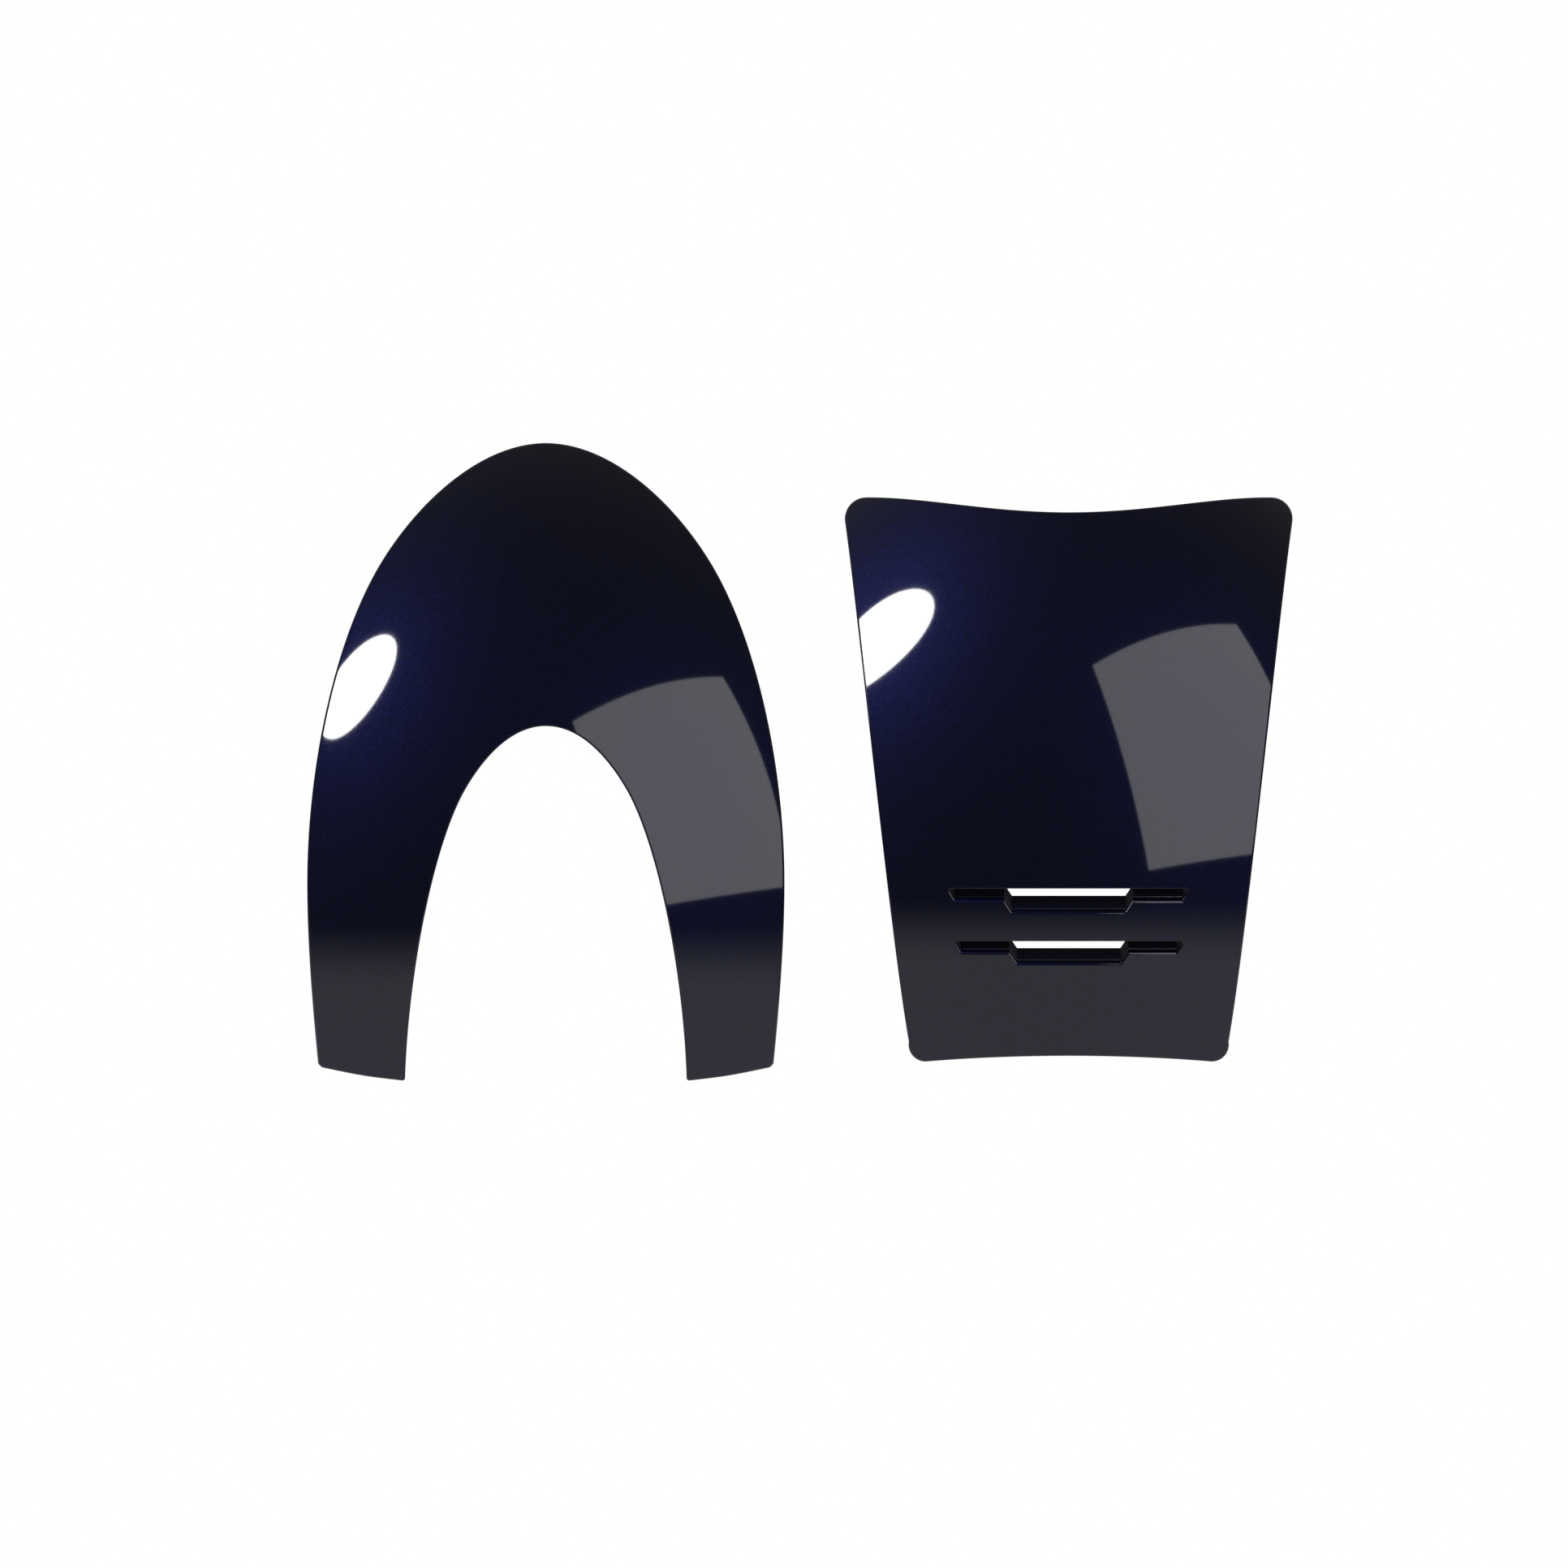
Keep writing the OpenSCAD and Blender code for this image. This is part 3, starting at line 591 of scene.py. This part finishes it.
def raw_plastic():
    m, t, s = new_material("raw_moulded_plastic")
    t.links.new(ramp(t, noise(t, 45.0, 3.0), [
        (0.3, (0.020, 0.020, 0.022)), (0.7, (0.028, 0.028, 0.031))]), s.inputs["Base Color"])
    t.links.new(spread(t, noise(t, 120.0, 2.0), 0.42, 0.58), s.inputs["Roughness"])
    t.links.new(bump(t, noise(t, 1700.0, 3.0), 0.00004, 0.5), s.inputs["Normal"])
    return m


def louvre_gloss():
    m, t, s = new_material("louvre_gloss_near_black")
    t.links.new(ramp(t, noise(t, 900.0), [
        (0.3, (0.003, 0.003, 0.010)), (0.8, (0.006, 0.006, 0.020))]), s.inputs["Base Color"])
    t.links.new(spread(t, noise(t, 500.0, 2.0), 0.2, 0.3), s.inputs["Roughness"])
    edges = rounded_edges(t, 0.0003)
    t.links.new(bump(t, noise(t, 400.0), 0.00001, 0.1, edges), s.inputs["Normal"])
    return m


def nylon():
    m, t, s = new_material("glass_filled_nylon")
    at = coordinates(t)
    swirl = node(t, "TexNoise", Scale=38.0, Detail=4.0, Roughness=0.65, Distortion=2.2)
    t.links.new(at, swirl.inputs["Vector"])
    t.links.new(ramp(t, swirl.outputs["Fac"], [
        (0.35, (0.022, 0.022, 0.0225)), (0.6, (0.034, 0.034, 0.035)),
        (0.8, (0.043, 0.043, 0.045))]), s.inputs["Base Color"])
    t.links.new(spread(t, swirl.outputs["Fac"], 0.66, 0.44), s.inputs["Roughness"])
    grain = node(t, "TexVoronoi", Scale=1500.0, feature="SMOOTH_F1")
    t.links.new(at, grain.inputs["Vector"])
    edges = rounded_edges(t, 0.0006)
    t.links.new(bump(t, grain.outputs["Distance"], 0.00010, 0.55, edges), s.inputs["Normal"])
    return m


def zinc():
    m, t, s = new_material("bright_zinc_plate")
    t.links.new(ramp(t, noise(t, 700.0, 3.0), [
        (0.3, (0.60, 0.61, 0.63)), (0.7, (0.74, 0.75, 0.77))]), s.inputs["Base Color"])
    s.inputs["Metallic"].default_value = 1.0
    t.links.new(spread(t, noise(t, 1600.0, 2.0), 0.22, 0.40), s.inputs["Roughness"])
    edges = rounded_edges(t, 0.0002)
    t.links.new(bump(t, noise(t, 2600.0), 0.00001, 0.3, edges), s.inputs["Normal"])
    return m


def brass():
    m, t, s = new_material("turned_brass")
    t.links.new(ramp(t, noise(t, 900.0, 3.0), [
        (0.3, (0.56, 0.39, 0.15)), (0.7, (0.72, 0.53, 0.24))]), s.inputs["Base Color"])
    s.inputs["Metallic"].default_value = 1.0
    t.links.new(spread(t, noise(t, 2100.0, 2.0), 0.2, 0.38), s.inputs["Roughness"])
    t.links.new(bump(t, noise(t, 3000.0, 1.0), 0.00001, 0.3), s.inputs["Normal"])
    return m


def rubber(name, low, high, rough, scale):
    m, t, s = new_material(name)
    t.links.new(ramp(t, noise(t, 160.0, 3.0), [(0.3, low), (0.75, high)]), s.inputs["Base Color"])
    t.links.new(spread(t, noise(t, 300.0, 2.0), rough - 0.08, rough + 0.08), s.inputs["Roughness"])
    t.links.new(bump(t, noise(t, scale, 3.0), 0.00005, 0.5), s.inputs["Normal"])
    return m


def foam_material():
    m, t, s = new_material("closed_cell_foam")
    cells = node(t, "TexVoronoi", Scale=1150.0, feature="DISTANCE_TO_EDGE")
    t.links.new(coordinates(t), cells.inputs["Vector"])
    t.links.new(ramp(t, cells.outputs["Distance"], [
        (0.0, (0.085, 0.085, 0.09)), (0.25, (0.045, 0.045, 0.048))]), s.inputs["Base Color"])
    t.links.new(spread(t, noise(t, 500.0, 2.0), 0.82, 0.96), s.inputs["Roughness"])
    s.inputs["Specular IOR Level"].default_value = 0.25
    t.links.new(bump(t, cells.outputs["Distance"], 0.00018, 0.8), s.inputs["Normal"])
    return m


def assign(name, material):
    """Gives a CAD node that stays visible its material."""
    for s in nodes[name].material_slots:
        s.material = material
    if not nodes[name].material_slots:
        nodes[name].data.materials.append(material)


PAINT, PLASTIC, LOUVRE, NYLON = paint(), raw_plastic(), louvre_gloss(), nylon()
ZINC, BRASS, FOAM = zinc(), brass(), foam_material()
SEAL = rubber("seal_rubber", (0.016, 0.016, 0.017), (0.026, 0.026, 0.027), 0.46, 900.0)
GROMMET = rubber("grommet_rubber", (0.020, 0.020, 0.020), (0.034, 0.034, 0.034), 0.62, 1500.0)
BUMPER = rubber("bumper_rubber", (0.024, 0.024, 0.024), (0.040, 0.040, 0.040), 0.66, 1400.0)

for carrier in ("arch_carrier", "shield_carrier"):
    assign(carrier, NYLON)
for louvre in ("upper_louvre", "lower_louvre"):
    assign(louvre, LOUVRE)

# ------------------------------------------------ covers

made = cover_mesh(arch_loop, [])
add_bosses(made, arch_studs, 1)
arch_shell = made.make("arch_cover_shell", arch, [PAINT, PLASTIC], "arch_face", "paint_blue")
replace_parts(arch_shell, "arch_cover")

designs = [slot_design(0), slot_design(1)]
made = cover_mesh(shield_loop, [lambda d, i=i: slot_at(i, designs[i], d) for i in (0, 1)])
add_bosses(made, shield_studs, 1)
shield_shell = made.make("shield_cover_shell", shield, [PAINT, PLASTIC], "shield_face",
                         "paint_blue")
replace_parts(shield_shell, "shield_cover")

# ------------------------------------------------ soft pieces, rounded from their CAD solids


def soft_piece(name, source, body, material, voxel, rounds):
    """A CAD solid remeshed at voxel mm and smoothed this many rounds, in its place."""
    mesh = nodes[source].data.copy()
    piece = bpy.data.objects.new(name, mesh)
    bpy.context.scene.collection.objects.link(piece)
    remesh = piece.modifiers.new("even", "REMESH")
    remesh.mode, remesh.voxel_size, remesh.use_smooth_shade = "VOXEL", voxel * MM, True
    smooth = piece.modifiers.new("round", "SMOOTH")
    smooth.factor, smooth.iterations = 0.5, rounds
    bpy.context.view_layer.update()
    view = bpy.context.evaluated_depsgraph_get()
    done = bpy.data.meshes.new_from_object(piece.evaluated_get(view))
    piece.modifiers.clear()
    piece.data = done
    done.name = name
    done.materials.clear()
    done.materials.append(material)
    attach(piece, body)
    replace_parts(piece, source)
    return piece


for source, body in (("arch_outer_seal", "arch_base"), ("arch_opening_seal", "arch_base"),
                     ("shield_edge_seal", "shield_base")):
    soft_piece(source + "_strip", source, body, SEAL, 0.9, 4)
gasket = soft_piece("vent_gasket_foam", "vent_gasket", "shield_base", FOAM, 0.8, 3)
for shell_name in ("arch", "shield"):
    pads = soft_piece(shell_name + "_pads", shell_name + "_foam_pads", shell_name + "_base",
                      FOAM, 0.6, 6)

# ------------------------------------------------ studs, grommets, inserts and bumpers

# Distances behind the cover's inner face
COLLAR_T, FLANGE_T, SEAT_T, TIP = 2.0, 2.2, 3.0, 2.6
COLLAR_BACK = BOSS_H + COLLAR_T
GROMMET_FRONT = COLLAR_BACK + 0.5
SEAT_FRONT = GROMMET_FRONT + FLANGE_T
SEAT_BACK = SEAT_FRONT + SEAT_T
GROMMET_BACK = SEAT_BACK + FLANGE_T
HAIR = 0.001    # the radius of a point at the middle of a turned surface


def lathe(mesh, p, at, runs):
    """Runs of (radius, distance behind at) pairs turned about Y, with sharp corners between."""
    for run in runs:
        turned(mesh, p, [(r, at + y) for r, y in run], segments=64, flip=True)


def add_stud(mesh, p):
    """A push stud: a hexagonal collar against the boss, and a round shank with a tapered tip."""
    at = axis_y(p, 0)
    corners = np.linspace(0, 2 * np.pi, 6, endpoint=False)

    def ring(r, y):
        x, z = p[0] + r * np.cos(corners), p[1] + r * np.sin(corners)
        return np.stack([x, np.full(6, at + y), z], -1)

    chamfer = 0.35
    rows = [ring(2.0, BOSS_H), ring(4.6, BOSS_H), ring(5.0, BOSS_H + chamfer),
            ring(5.0, COLLAR_BACK - chamfer), ring(4.6, COLLAR_BACK), ring(3.0, COLLAR_BACK)]
    for low, high in zip(rows, rows[1:]):
        for k in range(6):
            j = (k + 1) % 6
            quad = np.array([low[k], high[k], high[j], low[j]])[::-1]
            n = np.cross(quad[1] - quad[0], quad[2] - quad[0])
            n /= max(np.linalg.norm(n), 1e-9)
            mesh.add(quad, np.tile(n, (4, 1)), [(0, 1, 2, 3)])
    back = GROMMET_BACK + TIP
    lathe(mesh, p, at, [
        [(3.3, COLLAR_BACK), (3.08, COLLAR_BACK + 0.08), (3.0, COLLAR_BACK + 0.3)],
        [(3.0, COLLAR_BACK + 0.3), (3.0, back - 1.1)],
        [(3.0, back - 1.1), (2.94, back - 0.95), (2.1, back - 0.1)],
        [(2.1, back - 0.1), (1.98, back - 0.02), (1.8, back)],
        [(1.8, back), (HAIR, back)]])


def add_grommet(mesh, p):
    """A rubber grommet: two flanges either side of the seat, with a rounded groove behind."""
    at = axis_y(p, 0)
    front, back = GROMMET_FRONT, GROMMET_BACK
    flange, neck, bore, e = 9.5, 6.2, 3.05, 0.7

    def lip(y, out, r):
        """The rounded rim of a flange with its flat face at y, facing out."""
        q = np.linspace(0, np.pi / 2, 7)
        return [(r - e + e * math.sin(k), y - out * (e - e * math.cos(k))) for k in q]

    lathe(mesh, p, at, [
        [(bore, back - 1.5), (bore, front + 1.5)],
        [(bore, front + 1.5), (bore, front + 0.5), (bore + 0.15, front + 0.15),
         (bore + 0.5, front)],
        [(bore + 0.5, front), (flange - e, front)], lip(front, -1, flange),
        [(flange, front + e), (flange, SEAT_FRONT - 0.3)],
        [(flange, SEAT_FRONT - 0.3), (flange - 0.08, SEAT_FRONT - 0.08),
         (flange - 0.3, SEAT_FRONT)],
        [(flange - 0.3, SEAT_FRONT), (neck, SEAT_FRONT)], [(neck, SEAT_FRONT), (neck, SEAT_BACK)],
        [(neck, SEAT_BACK), (flange - 0.3, SEAT_BACK)],
        [(flange - 0.3, SEAT_BACK), (flange - 0.08, SEAT_BACK + 0.08), (flange, SEAT_BACK + 0.3)],
        [(flange, SEAT_BACK + 0.3), (flange, back - e)], lip(back, 1, flange)[::-1],
        [(flange - e, back), (7.4, back)],
        [(7.4, back), (7.15, back - 0.08), (6.95, back - 0.3), (6.75, back - 0.5),
         (6.4, back - 0.58), (6.05, back - 0.5), (5.85, back - 0.3), (5.65, back - 0.08),
         (5.4, back)],
        [(5.4, back), (bore + 0.5, back)],
        [(bore + 0.5, back), (bore + 0.15, back - 0.15), (bore, back - 0.5), (bore, back - 1.5)]])


def add_insert(mesh, p, back):
    """A brass insert with its back end at back and an M5 thread cut inside it."""
    outer, minor, major, pitch, length, lead = 3.55, 2.1, 2.45, 0.8, 9.5, 0.4
    lathe(mesh, p, back, [
        [(outer, -length), (outer, -0.25)],
        [(outer, -0.25), (outer - 0.07, -0.07), (outer - 0.25, 0)],
        [(outer - 0.25, 0), (major + 0.2, 0)],
        [(major + 0.2, 0), (minor + 0.05, -lead)]])
    a = np.linspace(0, 2 * np.pi, 32, endpoint=False)
    rows = []
    for y in np.arange(0, length - lead, 0.1):
        wave = np.abs(((y / pitch + a / (2 * np.pi)) % 1) - 0.5) * 2
        r = minor + (major - minor) * np.clip(1.25 * wave - 0.1, 0, 1) * min(1, y / 0.6)
        x, z = p[0] + r * np.cos(a), p[1] + r * np.sin(a)
        rows.append(np.stack([x, np.full(len(a), back - lead - y), z], -1))
    mesh.grid(np.array(rows), flip=True)
    lathe(mesh, p, back, [[(minor, -length), (outer, -length)]])


def add_bumper(mesh, p, side):
    """A rubber bumper on the carrier's back, flared to its end, with its stem through the layer."""
    at = (side * p[0], p[1])
    reach, flare, stand, stem = 6.5, 2.0, 5.0, 3.0
    end = float(form_y(p[0] + reach, abs(p[1]) + reach, CARRIER_BACK)) + stand
    skirt = end - flare

    def seat(x, z):
        return form_y(x, z, CARRIER_BACK + 0.1)

    def front(x, z):
        return form_y(x, z, CARRIER_FRONT + 0.05)

    for run in (
            [(reach, seat), (reach, skirt - 0.5)],
            [(reach, skirt - 0.5), (reach - 0.1, skirt), (reach - 0.35, skirt + 0.35)],
            [(reach - 0.35, skirt + 0.35), (reach - 1.5, end - 0.5)],
            [(reach - 1.5, end - 0.5), (reach - 1.8, end - 0.2), (reach - 2.2, end - 0.04),
             (reach - 2.6, end)],
            [(reach - 2.6, end), (1.9, end)],
            [(1.9, end), (1.6, end - 0.1), (1.4, end - 0.4), (1.35, end - 1.2)],
            [(1.35, end - 1.2), (HAIR, end - 1.2)]):
        turned(mesh, at, run, segments=64, flip=True)
    turned(mesh, at, [(HAIR, front), (stem, front), (stem, seat)], flip=True)


def finish_piece(mesh, name, cad_name, shell, material, body, slot):
    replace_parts(mesh.make(name, shell, [material], body, slot), cad_name)


TOWER_STAND = 9.0
# Each shell's studs, its mounts' places on one side, lower first, and its right bumper's place
for word, shell, studs, mounts, bumper in (
        ("arch", arch, arch_studs, ((92.0, 28.0), (92.0, 150.0)), (ARM_X, 23 - ARCH_DROP)),
        ("shield", shield, shield_studs, ((66.0, 25.6 - SHIELD_DROP), (66.0, 130.0)),
         (SHIELD_HALF - 20.2, SHIELD_TOP + EAR_RISE - 21.2))):
    face, base = word + "_face", word + "_base"
    made = Mesh()
    for p in studs:
        add_stud(made, p)
    finish_piece(made, word + "_push_studs", word + "_studs", shell, ZINC, face, "zinc_steel")
    made = Mesh()
    for p in studs:
        add_grommet(made, p)
    finish_piece(made, word + "_rubber_grommets", word + "_grommets", shell, GROMMET, base,
                 "grommet_rubber")
    made = Mesh()
    x, z = mounts[1]
    back = TOWER_STAND - math.sqrt(float(form_radius(z, CARRIER_BACK)) ** 2 - x ** 2)
    for x, z in mounts:
        for side in (-1, 1):
            add_insert(made, (side * x, z), back)
    finish_piece(made, word + "_m5_inserts", word + "_inserts", shell, BRASS, base, "brass")
    for side, end in ((-1, "left"), (1, "right")):
        made = Mesh()
        add_bumper(made, bumper, side)
        finish_piece(made, f"{word}_{end}_buffer", f"{word}_{end}_bumper", shell, BUMPER, base,
                     "bumper_rubber")

# ------------------------------------------------ stage, lights and camera


def add_stage(name, points, faces, material):
    mesh = bpy.data.meshes.new(name)
    mesh.from_pydata(points, [], faces)
    mesh.materials.append(material)
    o = bpy.data.objects.new(name, mesh)
    bpy.context.scene.collection.objects.link(o)
    o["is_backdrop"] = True
    return o


FLOOR_R, FLOOR_SIDES, FLOOR_GAP = 30.0, 96, 0.0008
m, t, s = new_material("pale_floor")
s.inputs["Base Color"].default_value = (0.86, 0.86, 0.86, 1)
s.inputs["Emission Color"].default_value = (1, 1, 1, 1)
s.inputs["Emission Strength"].default_value = 0.34
t.links.new(spread(t, noise(t, 3.0), 0.68, 0.74), s.inputs["Roughness"])
rim = np.linspace(0, 2 * np.pi, FLOOR_SIDES, endpoint=False)
floor = add_stage("floor", [(FLOOR_R * math.cos(a), FLOOR_R * math.sin(a), 0) for a in rim],
                  [tuple(range(FLOOR_SIDES))], m)
floor.location = (0, 0, -FLOOR_GAP)
floor.visible_glossy = False

# A white sphere that only the camera sees
BACKDROP_R, SECTORS, BANDS = 28.0, 64, 32
m, t, s = new_material("backdrop_white")
t.nodes.remove(s)
white = t.nodes.new("ShaderNodeEmission")
white.inputs["Color"].default_value = (1, 1, 1, 1)
white.inputs["Strength"].default_value = 1.0
t.links.new(white.outputs["Emission"], t.nodes["Material Output"].inputs["Surface"])
points = [(BACKDROP_R * math.cos(e) * math.cos(a), BACKDROP_R * math.cos(e) * math.sin(a),
           BACKDROP_R * math.sin(e))
          for e in np.radians(np.linspace(-90, 90, BANDS + 1))
          for a in np.linspace(0, 2 * np.pi, SECTORS, endpoint=False)]
backdrop = add_stage("backdrop", points, [
    (k * SECTORS + i, k * SECTORS + (i + 1) % SECTORS,
     (k + 1) * SECTORS + (i + 1) % SECTORS, (k + 1) * SECTORS + i)
    for k in range(BANDS) for i in range(SECTORS)], m)
backdrop.visible_glossy = backdrop.visible_diffuse = False
backdrop.visible_transmission = backdrop.visible_shadow = False

# Dark above, lighter below, changing over a few degrees round the horizon
LIGHT_BELOW, DARK_ABOVE = (-8.5, 0.74), (4.5, 0.09)     # elevation in degrees, strength
world = bpy.data.worlds.new("studio")
world.use_nodes = True
t = world.node_tree
height = t.nodes.new("ShaderNodeSeparateXYZ")
t.links.new(t.nodes.new("ShaderNodeTexCoord").outputs["Generated"], height.inputs[0])
rise = node(t, "MapRange", interpolation_type="SMOOTHSTEP")
rise.inputs["From Min"].default_value = math.sin(math.radians(LIGHT_BELOW[0]))
rise.inputs["From Max"].default_value = math.sin(math.radians(DARK_ABOVE[0]))
rise.inputs["To Min"].default_value = LIGHT_BELOW[1]
rise.inputs["To Max"].default_value = DARK_ABOVE[1]
t.links.new(height.outputs["Z"], rise.inputs["Value"])
t.nodes["Background"].inputs["Color"].default_value = (0.98, 0.98, 1.0, 1)
t.links.new(rise.outputs["Result"], t.nodes["Background"].inputs["Strength"])
bpy.context.scene.world = world


def lamp(name, shape, where, radiance, size, towards, lit, axes=None):
    """An area lamp of this radiance, lighting one collection. axes are its width and height."""
    data = bpy.data.lights.new(name, "AREA")
    data.shape = shape
    data.size = size[0]
    data.size_y = size[1]
    surface = size[0] * size[1] * (math.pi / 4 if shape == "ELLIPSE" else 1)
    data.energy = radiance * math.pi * surface
    o = bpy.data.objects.new(name, data)
    bpy.context.scene.collection.objects.link(o)
    where = Vector(where)
    if axes:
        u, v = (Vector(a).normalized() for a in axes)
        n = u.cross(v).normalized()
        if n.dot(Vector(towards) - where) > 0:
            u, n = -u, -n
        v = n.cross(u)
        o.matrix_world = Matrix.Translation(where) @ Matrix((u, v, n)).transposed().to_4x4()
    else:
        o.rotation_mode = "QUATERNION"
        o.location = where
        o.rotation_quaternion = (where - Vector(towards)).to_track_quat("Z", "Y")
    o.visible_camera = False
    o.light_linking.receiver_collection = lit


def direction(azimuth, elevation):
    a, e = math.radians(azimuth), math.radians(elevation)
    return np.array([math.sin(a) * math.cos(e), -math.cos(a) * math.cos(e), math.sin(e)])


def collection(name, members):
    c = bpy.data.collections.new(name)
    for o in members:
        c.objects.link(o)
    return c


# Each shell has its own key and side lamp, as if each had been photographed by itself
lit = {word: collection(word + "_lit", [
    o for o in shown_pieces() if (body_of(o) or [""])[0].startswith(word)])
    for word in ("arch", "shield")}

# A key is an oval far away: seen from its shell along c, it reaches a along u and b along v, as
# tangents. Its power is radiance times a times b.
KEY_DISTANCE = 8.0
for word, eye, c, u, v, a, b, power in (
        ("arch", (-0.2417, -0.0254, 0.2190), (-0.68354, -0.18411, 0.70631),
         (0.30297, -0.95193, 0.04507), (0.66407, 0.2448, 0.70646), 0.1377, 0.1834, 0.6496),
        ("shield", (0.0575, -0.0206, 0.2493), (-0.6706, -0.10783, 0.73394),
         (0.22491, 0.91326, 0.33968), (-0.7069, 0.39286, -0.58818), 0.1593, 0.2294, 0.868)):
    lamp(word + "_key", "ELLIPSE", Vector(eye) + KEY_DISTANCE * Vector(c), power / (a * b),
         (2 * KEY_DISTANCE * a, 2 * KEY_DISTANCE * b), eye, lit[word], (u, v))
SIDE_RADIANCE = 2.1
for word, where, size, towards, axes in (
        ("arch", (1.1099, -1.2939, 1.2254), (1.883, 1.712), (-0.1, 0, 0.15),
         ((0.7861, 0.6112, 0.0922), (-0.2575, 0.1883, 0.9478))),
        ("shield", (1.3645, -1.1669, 1.3807), (1.797, 1.84), (0.15, 0, 0.2),
         ((0.7842, 0.6164, 0.0715), (-0.2768, 0.2443, 0.9294)))):
    lamp(word + "_side", "RECTANGLE", where, SIDE_RADIANCE, size, towards, lit[word], axes)

# Soft lamps for the floor and what is behind the covers
rest = collection("rest_lit", [floor] + [
    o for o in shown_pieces() if "_shell" not in o.name and "louvre" not in o.name])
CENTRE, REST_DISTANCE = (0.0, 0.0, 0.15), 2.6
for name, azimuth, elevation, size, radiance in (
        ("back_left", -140, 30, 1.2, 6.0), ("back_right", 150, 24, 1.4, 4.0),
        ("above", 170, 80, 3.0, 1.5)):
    where = Vector(CENTRE) + Vector(REST_DISTANCE * direction(azimuth, elevation))
    lamp(name, "RECTANGLE", where, radiance, (size, size), CENTRE, rest)

camera = bpy.data.objects.new("camera", bpy.data.cameras.new("camera"))
camera.data.type = "ORTHO"
camera.data.ortho_scale = 0.8694
camera.data.clip_end = 100
camera.location = (-0.0088, -2.6, 0.1647)
camera.rotation_euler = (math.pi / 2, 0, 0)
bpy.context.scene.collection.objects.link(camera)
bpy.context.scene.camera = camera
bpy.context.scene.view_settings.view_transform = "Standard"
